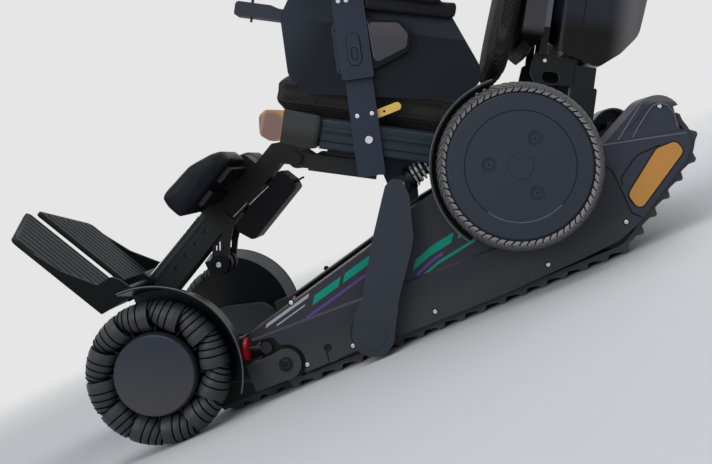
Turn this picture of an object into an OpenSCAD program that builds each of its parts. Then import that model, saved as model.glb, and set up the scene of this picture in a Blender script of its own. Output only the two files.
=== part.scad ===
// Stair climbing wheelchair in millimetres: X runs to the back of the chair, Y to its right, Z up.
// Two tracked side units stand on the floor and carry the seat on a pair of lift arms.
// The seat, legrest, armrest and backrest pieces are drawn level, each in its own tilted frame.

/* [Track units] */
// Half the clear width between the two side units
pod_in = 150; // [147:0.5:156]
// Half the width over the side covers
pod_out = 246; // [240:0.5:252]
// Wall of the moulded covers
cover_wall = 4; // [3:0.25:5]
// Thickness of the frame plates
plate_t = 6; // [4:0.5:7]
// Thickness of the belt without its lugs
belt_t = 8; // [6:0.5:9]
// Depth of the belt lugs
lug_h = 10.4; // [7:0.2:11]
// Number of lugs round one belt
lug_count = 46; // [40:1:50]
// Radius of the belt's inner face on the drive sprocket
sprocket_r = 48; // [44:0.5:49]
// Radius of the belt's inner face on the front idler
idler_r = 41; // [36:0.5:43]
// Radius of the belt's inner face on the rear slide shoe
shoe_r = 50; // [40:1:60]

/* [Front wheels] */
// Radius over the omni rollers
omni_r = 135.5; // [130:0.5:137]
// Radius of one roller at the middle of its length
roller_r = 26; // [25:0.25:27]
// Radius of the flat hub disc
hub_r = 75; // [60:0.5:77]
// Gap between the rollers and the mudguard
mudguard_gap = 27; // [22:0.5:32]

/* [Rear wheels] */
// Radius over the tyre tread
tyre_r = 155; // [148:0.5:158]
// Width of the tyre
tyre_w = 48; // [40:0.5:56]
// Depth of the tyre from its tread to the wheel disc
tyre_wall = 18; // [15:0.5:25]
// Gap between the tyre and the fender strip
fender_gap = 8.5; // [6:0.5:12]

/* [Lift] */
// Thickness of a lift arm
lift_t = 28; // [20:0.5:34]
// Radius of the cross shaft at the foot of the lift arms
lift_shaft_r = 15; // [10:0.5:17]
// Radius of the shaft that carries the seat
seat_shaft_r = 12; // [8:0.5:14]

/* [Seat] */
// Backward tilt of the seat from the tracks, in degrees
seat_tilt = 30; // [24:0.5:33]
// Height of the grooved seat rails
rail_h = 57; // [50:0.5:60]
// Width of the grooved seat rails
rail_w = 24; // [18:0.5:28]
// Thickness of the seat cushion at its crown
cushion_h = 80; // [60:1:90]
// Radius of the chrome spring's wire
wire_r = 2.8; // [2:0.1:3.2]
// Number of curls in a chrome spring
curls = 6; // [4:1:6]

/* [Legrest] */
// Forward lean of the legrest from the seat's upright, in degrees
leg_lean = 31; // [25:0.5:36]
// Depth of the sliding beam, front to back
beam_d = 66; // [50:0.5:70]
// Width of the sliding beam
beam_w = 50; // [40:0.5:56]
// Wall of the sleeve round the beam
sleeve_wall = 5; // [4:0.25:7]
// Length of a footplate from heel to inner toe
foot_len = 305; // [260:1:320]

/* [Armrests] */
// Forward lean of the armrest posts, in degrees
post_lean = 15.5; // [12:0.5:18]
// Depth of an armrest post, front to back
post_d = 52; // [44:0.5:56]
// Thickness of an armrest post
post_t = 11.5; // [8:0.25:13]

/* [Backrest] */
// Depth of the lower backrest tube, front to back
back_d = 54; // [44:0.5:58]
// Height of the back cushion
back_h = 500; // [440:5:540]

/* [Hidden] */
$fn = 64;
LEFT = -1;
RIGHT = 1;

// Clearances
run = 0.05;
loose = 0.3;

// Distance from the lift pivots' datum back to the middle of the chair's length
mid_x = -146.885;

// Places in the side view: chassis points as [x, z], seat points as [u, w] from the seat shaft
lug_base = lug_h + belt_t;
sprocket_at = [411, 166];
idler_at = [-400, lug_base + idler_r];
shoe_at = [250, lug_base + shoe_r];
guide_r = 20;
guide_at = [250, 218];
front_pivot = [-420, 55];
damper_at = [-444, 98];
front_axle = [-640, omni_r];
lift_at = [-241, 46];
seat_at = [-93, 288];
swing_at = [0, 215];
rear_axle = [131, 237];
leg_at = [-225, 24];
knee_set = 17;
knee_at = leg_at + [knee_set, 0];
post_foot = [-53, 12];
back_at = [343, 122];
shock_top = [100, 93];

// Half-width stations, from the inside out
plate_in = pod_in + plate_t;
plate_out1 = pod_out - 8;
plate_out0 = plate_out1 - plate_t;
belt_y0 = plate_in + 3;
belt_y1 = plate_out0 - 2;
swing_y0 = pod_out + 2.5;
swing_y1 = swing_y0 + 7.5;
fender_web = 3.5;
disc_r = tyre_r - tyre_wall;
tyre_y0 = swing_y1 + fender_web + 3.5;
tyre_y1 = tyre_y0 + tyre_w;
lift_y0 = pod_out + 5;
lift_y1 = lift_y0 + lift_t;
arm_face = plate_out1 + 0.5;
arm_out = arm_face + 13.5;
arm_in0 = pod_in + 55;
arm_in1 = arm_in0 + 25;
omni_mid = arm_in1 + 45;
rail_y1 = pod_out - 9;
rail_y0 = rail_y1 - rail_w;
rail_w1 = 107;
rail_w0 = rail_w1 - rail_h;
post_y1 = rail_y1 + post_t;
sleeve_y0 = rail_y1 - 3;
sleeve_y1 = post_y1 + 13.5;
pan_t = 4;
cushion_w0 = rail_w1 + pan_t + loose;
cushion_y = rail_y1 - 24;
sleeve_s0 = 186;
sleeve_back = post_d / 2 + 4;
pad_w0 = 350;
pad_gap = 2.35;
sleeve_s1 = (pad_w0 - pad_gap - post_foot.y - sleeve_back * sin(post_lean)) / cos(post_lean);
post_top = sleeve_s1 - 40;
back_arm_y0 = pod_in - 9;
back_arm_t = 8;
back_y1 = back_arm_y0 - 1;
back_y0 = back_y1 - 28;
back_shaft_r = 11;
knee_r = 10;
heel_r = 9;

// Vector and outline helpers
function flat(p) = [p[0], p[1]];
function unit(v) = v / norm(v);
function turn(p, i) = p[(i + len(p)) % len(p)];
function wrap(a) = a - 360 * floor(a / 360);

// Corner of an outline with a fillet of radius b[2], as points on its arc
function corner(a, b, c) =
    len(b) < 3 || b[2] == 0 ? [flat(b)] :
    let (u = unit(flat(a) - flat(b)), v = unit(flat(c) - flat(b)))
    let (half = acos(u * v) / 2, n = unit(u + v), m = flat(b) + n * b[2] / sin(half))
    let (s = flat(b) + u * b[2] / tan(half) - m, e = flat(b) + v * b[2] / tan(half) - m)
    let (a0 = atan2(s.y, s.x), d = wrap(atan2(e.y, e.x) - a0 + 180) - 180)
    let (n_arc = max(2, ceil(abs(d) / 12)))
    [for (k = [0:n_arc]) m + b[2] * [cos(a0 + d * k / n_arc), sin(a0 + d * k / n_arc)]];

// Outline of points [x, y, fillet radius]
function rounded(p) =
    [for (i = [0:len(p) - 1]) each corner(turn(p, i - 1), p[i], turn(p, i + 1))];

function rect(x0, x1, y0, y1, r) = rounded([[x0, y0, r], [x1, y0, r], [x1, y1, r], [x0, y1, r]]);

// Anticlockwise outline moved inwards by d
function inset(p, d) =
    [for (i = [0:len(p) - 1])
        let (b = flat(p[i]), u = unit(b - flat(turn(p, i - 1))), v = unit(flat(turn(p, i + 1)) - b))
        let (m = b + [-u.y - v.y, u.x + v.x] * d / (1 + u * v))
        [m.x, m.y, len(p[i]) < 3 ? 0 : max(p[i][2] - d, 0)]];

// Prisms of a side outline [x, z], of a front outline [y, z] and of a plan outline [x, y]
module plate(p, y0, y1)
    translate([0, y1, 0]) rotate([90, 0, 0]) linear_extrude(y1 - y0) polygon(p);
module along_x(p, x0, x1)
    translate([x0, 0, 0]) rotate([90, 0, 90]) linear_extrude(x1 - x0) polygon(p);
module along_z(p, z0, z1)
    translate([0, 0, z0]) linear_extrude(z1 - z0) polygon(p);
module rod(at, r, y0, y1)
    translate([at.x, y1, at.y]) rotate([90, 0, 0]) cylinder(r = r, h = y1 - y0);
// Solid turned about a cross axis from points [radius, y]
module turned(at, p)
    translate([at.x, 0, at.y]) rotate([-90, 0, 0]) rotate_extrude() polygon(p);
// Profile of points [radius, y] swept about a cross axis, between two angles from +X towards +Z
module swept(at, p, a0, a1)
    translate([at.x, 0, at.y]) rotate([90, 0, 0]) rotate([0, 0, a0])
        rotate_extrude(angle = a1 - a0) polygon([for (q = p) [q.x, -q.y]]);
module ring_sector(at, r0, r1, y0, y1, a0, a1)
    swept(at, [[r0, y1], [r1, y1], [r1, y0], [r0, y0]], a0, a1);
module side(s)
    mirror([0, s < 0 ? 1 : 0, 0]) children();
module both_sides() {
    side(LEFT) children();
    side(RIGHT) children();
}
module centred() translate([-mid_x, 0, 0]) children();
module in_seat()
    translate([seat_at.x, 0, seat_at.y]) rotate([0, seat_tilt, 0]) children();
module in_leg()
    in_seat() translate([leg_at.x, 0, leg_at.y]) rotate([0, leg_lean, 0]) children();
function arm_point(t, s) = post_foot
    + [t * cos(post_lean) - s * sin(post_lean), t * sin(post_lean) + s * cos(post_lean)];
module in_arm()
    in_seat() translate([post_foot.x, 0, post_foot.y]) rotate([0, -post_lean, 0]) children();

// Belt path: circles [x, z, r] in anticlockwise order, r negative where the belt bends back
belt_path = [
    [idler_at.x, idler_at.y, idler_r], [shoe_at.x, shoe_at.y, shoe_r],
    [sprocket_at.x, sprocket_at.y, sprocket_r], [guide_at.x, guide_at.y, -guide_r - lug_base]];

// Angle of the outward normal on the straight run from circle a to circle b
function run_angle(a, b) =
    let (d = flat(b) - flat(a))
    atan2(d.y, d.x) - 90 + asin((a[2] - b[2]) / norm(d));
function arc_span(i) =
    let (a0 = run_angle(turn(belt_path, i - 1), belt_path[i]))
    let (a1 = run_angle(belt_path[i], turn(belt_path, i + 1)))
    belt_path[i][2] > 0 ? [a0, wrap(a1 - a0)] : [a0, -wrap(a0 - a1)];
function on_arc(i, a, h) = flat(belt_path[i]) + (belt_path[i][2] + h) * [cos(a), sin(a)];

// Points of the belt face at height h above its inner face
function belt_face(h) =
    [for (i = [0:len(belt_path) - 1])
        let (span = arc_span(i), n_arc = ceil(abs(span[1]) / 8))
        for (k = [0:n_arc]) on_arc(i, span[0] + span[1] * k / n_arc, h)];

// Pieces of the path at the belt's middle face: an arc then the run that follows it
mid_h = belt_t / 2;
function arc_len(i) = abs(arc_span(i)[1]) * PI / 180 * abs(belt_path[i][2] + mid_h);
function run_ends(i) =
    let (s = arc_span(i), j = (i + 1) % len(belt_path), e = arc_span(j))
    [on_arc(i, s[0] + s[1], mid_h), on_arc(j, e[0], mid_h)];
function run_len(i) = norm(run_ends(i)[1] - run_ends(i)[0]);
function piece_len(i) = arc_len(i) + run_len(i);
function path_len(i) = i < 0 ? 0 : path_len(i - 1) + piece_len(i);
belt_len = path_len(len(belt_path) - 1);

// Point at distance d along the path and height h above the inner face
function belt_point(d, h, i = 0) =
    d > piece_len(i) && i < len(belt_path) - 1 ? belt_point(d - piece_len(i), h, i + 1) :
    let (s = arc_span(i))
    d < arc_len(i) ? on_arc(i, s[0] + s[1] * d / arc_len(i), h) :
    let (e = run_ends(i), a = s[0] + s[1])
    e[0] + (e[1] - e[0]) * (d - arc_len(i)) / run_len(i) + (h - mid_h) * [cos(a), sin(a)];

// One lug leans like a saw tooth: a slow front flank, a narrow tip and a steep rear flank, per pitch
lug_pitch = belt_len / lug_count;
lug_steps = [[0, 0], [0.14, 0.06], [0.46, 0.3], [0.66, 1], [0.78, 1], [0.97, 0]];
function belt_outline() =
    [for (k = [0:lug_count - 1], s = lug_steps)
        belt_point((k + s[0]) * lug_pitch, belt_t + s[1] * lug_h)];

// Outlines of the side unit
cover_top = [[459, 180, 8], [250, 221.5, 30], [12, 257, 60], [-78, 242, 40], [-199, 199, 0],
    [-325, 168, 0], [-470, 133, 6]];
cover_pts = concat([[-391, 25, 6], [-195, 21.5, 0], [6, 20, 0], [178, 25.5, 0], [258, 31, 20],
    [300, 46, 12], [393, 101, 0], [434, 124, 20], [456, 154, 18]], cover_top,
    [[-464, 119, 4], [-425, 112, 6]]);
frame_pts = [[-455, 40, 18], [-395, 26, 10], [250, 26, 40], [430, 128, 25], [446, 172, 16],
    [250, 212, 30], [12, 248, 55], [-76, 234, 40], [-199, 191, 0], [-325, 160, 0], [-452, 126, 12]];
roof_zone = [[-500, 128], [-380, 128], [262, 190], [262, 300], [-500, 300]];
amber_pts = [[305, 106, 14], [315, 69, 12], [436, 143, 12], [429, 167, 12], [389, 167, 16]];
amber_h = 3;

// Upper flank of a cover: set in from the lower panel behind a chamfer along its crease
flank_at = [-470, 120];
flank_len = 590;
flank_slope = 1.7;
module along_flank(p)
    translate([flank_at.x, 0, flank_at.y]) rotate([0, flank_slope, 0]) along_x(p, -20, flank_len);

module side_covers()
    color([0.20, 0.21, 0.23]) both_sides() difference() {
        union() {
            plate(rounded(cover_pts), pod_out - cover_wall, pod_out);
            intersection() {
                plate(rounded(cover_pts), plate_out1 + loose, pod_out - 1);
                along_flank(rect(pod_in, pod_out, -cover_wall, cover_top[2].y, 0));
            }
            intersection() {
                difference() {
                    plate(rounded(cover_pts), pod_in, pod_out - cover_wall);
                    plate(rounded(inset(cover_pts, cover_wall)), pod_in - 1, pod_out);
                }
                plate(roof_zone, pod_in - 1, pod_out);
            }
        }
        along_flank([[pod_out + 1, -1], [pod_out + 1, cover_top[2].y + 1],
            [pod_out - cover_wall, cover_top[2].y + 1], [pod_out - cover_wall, cover_wall]]);
        rod(front_pivot, 37, pod_in, pod_out + 1);
        rod(lift_at, lift_shaft_r + 1, pod_in, pod_out + 1);
        rod(lift_at, 47, pod_out - 2, pod_out + 1);
        rod(swing_at, swing_shaft_r + 1, pod_in, pod_out + 1);
        rod([-336, 53], 6, pod_in, pod_out + 1);
        plate(rounded(amber_pts), pod_out - amber_h, pod_out + 1);
    }

module amber_panels()
    color([0.70, 0.52, 0.28]) both_sides()
        plate(rounded(inset(amber_pts, loose)), pod_out - amber_h, pod_out + 2);

swing_shaft_r = 13;
spacers = [[-120, 80], [140, 80], [60, 205], [-110, 195], [300, 120]];
cross_tubes = [[-350, 95], [262, 110], [330, 95]];
battery_bars = [-190, 90];
bar_h = 12;
battery_z0 = lift_at.y + lift_shaft_r + 5;

module chassis_frame()
    color([0.13, 0.13, 0.14]) {
        both_sides() difference() {
            union() {
                plate(rounded(frame_pts), pod_in, plate_in);
                plate(rounded(frame_pts), plate_out0, plate_out1);
                for (p = spacers) rod(p, 9, plate_in, plate_out0);
                rod(shoe_at, shoe_r - 1, belt_y0, belt_y1);
                rod(shoe_at, 16, plate_in, plate_out0);
                intersection() {
                    rod(guide_at, guide_r - loose, plate_in, plate_out0);
                    plate(rect(guide_at.x - 30, guide_at.x + 30, guide_at.y - 30, guide_at.y - 7, 0),
                        plate_in, plate_out0);
                }
                rod(front_pivot, front_pin_r, plate_out1, arm_out + 1);
            }
            rod(sprocket_at, drive_shaft_r + run, pod_in - 1, pod_out);
            rod(idler_at, idler_shaft_r + run, pod_in - 1, pod_out - 8 - 1.5);
            rod(lift_at, lift_shaft_r + run, pod_in - 1, pod_out);
            rod(swing_at, swing_shaft_r + run, pod_in - 1, pod_out);
        }
        for (p = cross_tubes) rod(p, 14, loose - pod_in, pod_in - loose);
        for (x = battery_bars)
            plate(rect(x, x + 60, battery_z0 - bar_h, battery_z0, 2), loose - pod_in, pod_in - loose);
    }

module track_belts()
    color([0.08, 0.08, 0.085]) both_sides() difference() {
        plate(belt_outline(), belt_y0, belt_y1);
        plate(belt_face(0), belt_y0 - 1, belt_y1 + 1);
    }

// Arch over the sprocket: a sloped front, a round top and an upright back
function arch(drop) = [[298 - drop * 2, 212.3 - drop], [461, 180 - drop], [461, 294.3, 48]];

module sprocket_covers()
    color([0.22, 0.23, 0.25]) both_sides() difference() {
        plate(rounded(arch(0)), pod_in + 2, pod_out);
        plate(rounded(inset(arch(12), cover_wall)), pod_in, pod_out - cover_wall - 1);
        plate(rounded(inset(arch(0), 15)), pod_out - 2, pod_out + 1);
        plate([[444, 170], [470, 170], [470, 229], [449, 229]], pod_in, pod_out + 1);
    }

battery_x = [-335, 235];
battery_h = 66;
module battery_case()
    color([0.10, 0.10, 0.11]) intersection() {
        plate(rect(battery_x[0], battery_x[1], battery_z0, battery_z0 + battery_h, 12), -132, 132);
        along_z(rect(battery_x[0], battery_x[1], -132, 132, 25), battery_z0 - 1, battery_z0 + 80);
    }

drive_shaft_r = 15;
idler_shaft_r = 12;
front_pin_r = 14;
module drive_motors()
    color([0.16, 0.16, 0.17]) both_sides() difference() {
        turned(sprocket_at, [[0, 16], [34, 16], [38, 20], [38, 96], [42, 98], [42, 128], [50, 130],
            [50, pod_in], [0, pod_in]]);
        rod(sprocket_at, drive_shaft_r + 0.5, pod_in - 12, pod_in + 1);
    }

drum_teeth = 12;
module drum(at, r, shaft_r, y0, y1) {
    difference() {
        turned(at, [[0, belt_y0], [r - loose, belt_y0], [r - loose, belt_y1], [0, belt_y1]]);
        for (k = [0:drum_teeth - 1])
            rod(at + r * [cos(k * 360 / drum_teeth), sin(k * 360 / drum_teeth)], 5,
                belt_y0 - 1, belt_y1 + 1);
    }
    rod(at, shaft_r, y0, y1);
}
module sprocket(s)
    color([0.55, 0.56, 0.58]) side(s)
        drum(sprocket_at, sprocket_r, drive_shaft_r, pod_in - 10, plate_out1);
module idler(s)
    color([0.50, 0.51, 0.53]) side(s)
        drum(idler_at, idler_r, idler_shaft_r, pod_in + 0.5, plate_out1 - 2);

// Front damper: a lug on the frame, a short rod and a red bump disc facing the arm
damper_turn = 17;
damper_y = plate_out1 + 5.5;
disc_gap = 34.5;
disc_t = 6;
disc_face = damper_at + (disc_gap + disc_t) * [-cos(damper_turn), sin(damper_turn)];
function damper_face(z) = disc_face.x + (z - disc_face.y) * tan(damper_turn);
module front_dampers() both_sides() {
    color([0.16, 0.16, 0.17]) rod(damper_at, 11, plate_out1, damper_y + 5);
    translate([damper_at.x, damper_y, damper_at.y]) rotate([0, -90 + damper_turn, 0]) {
        color([0.20, 0.20, 0.21]) cylinder(r = 4.5, h = disc_gap);
        color([0.75, 0.05, 0.10]) translate([0, 0, disc_gap]) cylinder(r = 21, h = disc_t);
    }
}

// Front suspension arm: an outer link on the pivot, a jog and an inner link out to the axle
jog = [-492, -468];
module front_arm(s)
    color([0.19, 0.20, 0.21]) side(s) difference() {
        union() {
            rod(front_pivot, 29, arm_face, arm_out);
            plate(rounded([[jog[0], 28, 4], [-420, 26, 0], [-400, 55, 0], [-415, 84, 0],
                [jog[0], 78, 4]]), arm_face, arm_out);
            plate(rect(jog[0], jog[1], 28, 82, 4), arm_in0, arm_out);
            plate(rounded([[jog[1], 28, 4], [jog[1], 78, 6], [-500, 84, 10], [-540, 142, 20],
                front_axle + [7, 33], front_axle + [-20, 33], front_axle + [-37, 15],
                front_axle + [-33, -22], [-540, 62, 30]]), arm_in0, arm_in1);
            plate([[-514, 76], [damper_face(76) - stop_gap, 76], [damper_face(132) - stop_gap, 132],
                [-514, 132]], arm_in0, arm_stop_y);
            rod(front_axle, 24, arm_in1, arm_stop_y);
            rod(front_axle, axle_r, arm_in1, omni_mid + 20);
        }
        rod(front_pivot, front_pin_r + run, arm_face - 1, arm_out + 1);
    }
axle_r = 12;
arm_stop_y = arm_in1 + 9;
stop_gap = 1.2;

// Mudguard: a web behind the wheel and a strip that flares outwards over the rollers
guard_r = omni_r + mudguard_gap;
guard_flare = 12.5;
guard_t = 3;
guard_y = [arm_stop_y + loose, omni_mid + 31];
module mudguard(s)
    color([0.10, 0.11, 0.13]) side(s) swept(front_axle, [[axle_r + 1, guard_y[0]],
        [guard_r - guard_flare + guard_t, guard_y[0]], [guard_r + guard_t, guard_y[1]],
        [guard_r, guard_y[1]], [guard_r - guard_flare, guard_y[0] + guard_t],
        [axle_r + 1, guard_y[0] + guard_t]], -33, 92);

// Rollers lean along the rim, so that each small end sits in the cupped end of the next
roller_count = 12;
roller_axis = omni_r - roller_r;
roller_lean = 11;
pitch_angle = 360 / roller_count;
drum_r = 2 * roller_axis * cos(roller_lean) - omni_r - 2 * loose;
hub_y0 = guard_y[0] + guard_t + 1;
disc_web = 2.6;
finger_angle = 10.5;
module omni_hub(s)
    color([0.30, 0.31, 0.33]) side(s) difference() {
        union() {
            turned(front_axle, [[0, hub_y0], [118, hub_y0], [118, hub_y0 + disc_web],
                [drum_r, hub_y0 + disc_web], [drum_r, omni_mid + 14], [hub_r - 6, omni_mid + 14],
                [hub_r - 6, omni_mid + 19], [hub_r, omni_mid + 20], [hub_r, omni_mid + 25],
                [hub_r - 2, omni_mid + 27], [0, omni_mid + 27]]);
            for (k = [0:roller_count - 1]) translate([front_axle.x, 0, front_axle.y])
                rotate([0, k * pitch_angle - finger_angle, 0])
                    translate([drum_r - 3, omni_mid - 9, -1.5]) cube([13, 18, 3]);
        }
        rod(front_axle, axle_r + run, hub_y0 - 1, omni_mid + 20.5);
    }

// Roller in five rings whose crowns follow the wheel's rim
ring_ends = [-28, -7.5, 6.5, 19.5, 29, 36];
ring_last = len(ring_ends) - 2;
groove_w = 1.2;
groove_d = 1.8;
cup = [[0, -13.5], [21.5, -13.5], [24.5, ring_ends[0]]];
pin_r = 5;
function crown(s) = sqrt(pow(omni_r, 2) - pow(s + roller_axis * sin(roller_lean), 2))
    - roller_axis * cos(roller_lean);
function ring_profile(k) =
    let (s0 = ring_ends[k] + (k == 0 ? 0 : groove_w / 2))
    let (s1 = ring_ends[k + 1] - (k == ring_last ? 0 : groove_w / 2), m = (s0 + s1) / 2)
    let (d = k == ring_last ? groove_d : 0)
    concat(k == 0 ? [] : [[crown(s0) - groove_d - d, s0]],
        [[crown(s0) - 0.6 - d, s0], [crown(m) - d, m], [crown(s1) - 0.6 - d, s1]],
        k == ring_last ? [] : [[crown(s1) - groove_d, s1]]);
roller_profile = concat(cup, [for (k = [0:ring_last]) each ring_profile(k)],
    [[pin_r, ring_ends[ring_last + 1]], [pin_r, ring_ends[ring_last + 1] + 2],
        [0, ring_ends[ring_last + 1] + 2]]);
module rollers(s)
    color([0.12, 0.12, 0.13]) side(s) for (k = [0:roller_count - 1])
        translate([front_axle.x, omni_mid, front_axle.y]) rotate([0, k * pitch_angle, 0])
            translate([roller_axis, 0, 0]) rotate([0, roller_lean, 0])
                rotate_extrude() polygon(roller_profile);

lift_pts = [[-168, 97, 20], [-118, 164, 25], [-103, 187, 20], [-80, 262, 12], [-82, 297, 12],
    [-98, 305, 8], [-115, 298, 8], [-131, 276, 20], [-181, 206, 60], [-232, 123, 20],
    [-262, 92, 15], [-275, 62, 0], [-241, 46, 0], [-208, 26, 0]];
lift_end_r = 39;
module lift_arms()
    color([0.24, 0.25, 0.28]) both_sides() difference() {
        union() {
            plate(rounded(lift_pts), lift_y0, lift_y1);
            rod(lift_at, lift_end_r, lift_y0, lift_y1);
            rod(lift_at, 23, lift_y1, lift_y1 + 1.5);
        }
        ring_sector(lift_at, 23, 24.2, lift_y1 - 1, lift_y1 + 2, 0, 360);
        rod(lift_at, lift_shaft_r, lift_y0 - 1, lift_y1 - 6);
        rod(seat_at, seat_shaft_r, lift_y0 - 1, lift_y1 - 6);
    }

module lift_shafts()
    color([0.60, 0.61, 0.63]) {
        rod(lift_at, lift_shaft_r, -lift_y1 + 6, lift_y1 - 6);
        rod(seat_at, seat_shaft_r, -lift_y1 + 6, lift_y1 - 6);
    }

hub_axle_r = 12;
module wheel_arms()
    color([0.17, 0.17, 0.18]) {
        both_sides() {
            rod(swing_at, 25, swing_y0, swing_y1);
            rod(rear_axle, 34, swing_y0, swing_y1);
            plate([swing_at + [0, -25], rear_axle + [0, -34], rear_axle + [0, 34],
                swing_at + [0, 25]], swing_y0, swing_y1);
            rod(rear_axle, hub_axle_r, swing_y1, tyre_y1 - 12);
        }
        rod(swing_at, swing_shaft_r, -swing_y1, swing_y1);
    }

fender_r = tyre_r + fender_gap;
module rear_fenders()
    color([0.09, 0.09, 0.10]) both_sides() {
        ring_sector(rear_axle, fender_r, fender_r + 3.5, swing_y1, tyre_y1 + 1, 86, 214);
        ring_sector(rear_axle, 110, fender_r + 3.5, swing_y1, swing_y1 + fender_web, 100, 205);
    }

tyre_mid = (tyre_y0 + tyre_y1) / 2;
module tyre(s)
    color([0.10, 0.10, 0.105]) side(s) turned(rear_axle, rounded([
        [disc_r, tyre_y0 + 4, 3], [tyre_r - 8, tyre_y0, 7], [tyre_r, tyre_mid - 12, 14],
        [tyre_r, tyre_mid + 12, 14], [tyre_r - 8, tyre_y1, 7], [disc_r, tyre_y1 - 4, 3]]));

module wheel_disc(s)
    color([0.21, 0.22, 0.24]) side(s) difference() {
        turned(rear_axle, [[0, tyre_y0 + 3], [92, tyre_y0 + 3], [96, tyre_y0 + 7],
            [disc_r - loose, tyre_y0 + 9], [disc_r - loose, tyre_y1 - 5], [disc_r - 4, tyre_y1 - 2],
            [104, tyre_y1 - 1], [104, tyre_y1 - 2], [102.5, tyre_y1 - 2], [102.5, tyre_y1 - 1],
            [24, tyre_y1], [24, tyre_y1 - 1], [22.8, tyre_y1 - 1], [22.8, tyre_y1 + 1.5],
            [0, tyre_y1 + 1.5]]);
        rod(rear_axle, hub_axle_r + run, tyre_y0 - 1, tyre_y1 - 11);
        for (a = [40, 155, 280])
            rod(rear_axle + 58 * [cos(a), sin(a)], 14, tyre_y1 - 4, tyre_y1 + 2);
    }

// Seat frame: grooved rails, pan, cross tubes, shaft brackets and rear arms to the backrest pivot
rail_u = [-162, 115];
tube_r = 12;
shaft_plate_y = [back_arm_y0 + back_arm_t + 1.5, rail_y0 - 51];
module seat_frame()
    color([0.20, 0.21, 0.24]) in_seat() {
        both_sides() difference() {
            along_x(rounded([[rail_y0, rail_w0, 2], [rail_y1, rail_w0, 4], [rail_y1, rail_w1, 6],
                [rail_y0, rail_w1, 2]]), rail_u[0], rail_u[1]);
            for (w = [rail_w0 + 14, rail_w0 + 28, rail_w0 + 42])
                along_x(rect(rail_y1 - 2, rail_y1 + 1, w, w + 3, 0), rail_u[0] - 1, rail_u[1] + 1);
        }
        both_sides() difference() {
            union() {
                plate(rounded([[-74, rail_w1 + 1, 0], [-74, 80, 12], [-20, -16, 0], [20, -16, 0],
                    [60, 80, 12], [60, rail_w1 + 1, 0]]), shaft_plate_y[0], shaft_plate_y[1]);
                rod([0, 0], 26, shaft_plate_y[0], shaft_plate_y[1]);
            }
            rod([0, 0], seat_shaft_r + run, shaft_plate_y[0] - 1, shaft_plate_y[1] + 1);
        }
        along_z(rect(-232, 176, -rail_y0, rail_y0, 8), rail_w1, rail_w1 + pan_t);
        for (p = [[-145, 84], [-62, 84], shock_top]) rod(p, tube_r, -rail_y0 - 1, rail_y0 + 1);
        both_sides() difference() {
            union() {
                plate(rounded([[70, 66, 10], [130, 62, 20], [back_at.x, back_at.y - 24, 0],
                    [back_at.x, back_at.y + 24, 0], [190, rail_w1 + 1, 20], [70, rail_w1 + 1, 0]]),
                    back_arm_y0, back_arm_y0 + back_arm_t);
                rod(back_at, 24, back_arm_y0, back_arm_y0 + back_arm_t);
            }
            rod(back_at, back_shaft_r + run, back_arm_y0 - 1, back_arm_y0 + back_arm_t + 1);
        }
    }

// Cushion: a crowned block with soft corners and a seam drawn in round its sides
function spow(v, e) = sign(v) * pow(abs(v), e);
function cushion_points(size, soft, ring_n, turn_n) =
    [for (i = [1:ring_n - 1], j = [0:turn_n - 1])
        let (v = 180 * i / ring_n - 90, a = 360 * j / turn_n)
        let (draw = 1 - 0.025 * exp(-pow(v / 7, 2)))
        [size.x / 2 * spow(cos(v), soft) * spow(cos(a), 0.28) * draw,
            size.y / 2 * spow(cos(v), soft) * spow(sin(a), 0.28) * draw,
            size.z / 2 * spow(sin(v), 0.62)]];
module cushion(size, soft = 0.3, ring_n = 16, turn_n = 44) {
    body = cushion_points(size, soft, ring_n, turn_n);
    last = len(body);
    ends = [[0, 0, -size.z / 2], [0, 0, size.z / 2]];
    rows = ring_n - 1;
    faces = concat(
        [for (j = [0:turn_n - 1]) [last, j, (j + 1) % turn_n]],
        [for (j = [0:turn_n - 1])
            [last + 1, (rows - 1) * turn_n + (j + 1) % turn_n, (rows - 1) * turn_n + j]],
        [for (i = [0:rows - 2], j = [0:turn_n - 1])
            let (p = i * turn_n + j, q = i * turn_n + (j + 1) % turn_n)
            each [[p, p + turn_n, q], [q, p + turn_n, q + turn_n]]]);
    polyhedron(concat(body, ends), faces);
}

cushion_u = [-268, 150];
module seat_cushion()
    color([0.07, 0.07, 0.075]) in_seat()
        translate([(cushion_u[0] + cushion_u[1]) / 2, 0, cushion_w0 + cushion_h / 2])
            cushion([cushion_u[1] - cushion_u[0], 2 * cushion_y, cushion_h]);

lamp_split = -236;
module lamp_housings()
    color([0.20, 0.21, 0.22]) in_seat() both_sides() intersection() {
        plate(rounded([[lamp_split, rail_w0 + 2, 3], [-186, rail_w0 - 4, 14],
            [rail_u[0] - loose, rail_w0 + 2, 12], [rail_u[0] - loose, rail_w1 + 5, 12],
            [lamp_split, rail_w1 + 9, 3]]), rail_y0 + 1, rail_y1 + 11);
        along_z(rect(lamp_split - 20, rail_u[0] - loose, rail_y0 + 1, rail_y1 + 11, 12),
            rail_w0 - 10, rail_w1 + 13);
    }

module amber_lamps()
    color([0.62, 0.46, 0.36]) in_seat() both_sides() intersection() {
        plate(rounded([[lamp_split - loose, rail_w0 + 6, 2], [lamp_split - loose, rail_w1 + 7, 2],
            [-272, rail_w1 + 3, 12], [-284, rail_w1 - 11, 10], [-276, rail_w0 + 10, 12],
            [-256, rail_w0 + 2, 6]]), rail_y0 + 2, rail_y1 + 10);
        along_z(rect(-286, lamp_split + 20, rail_y0 + 2, rail_y1 + 10, 14), rail_w0 - 10, rail_w1 + 13);
    }

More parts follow.
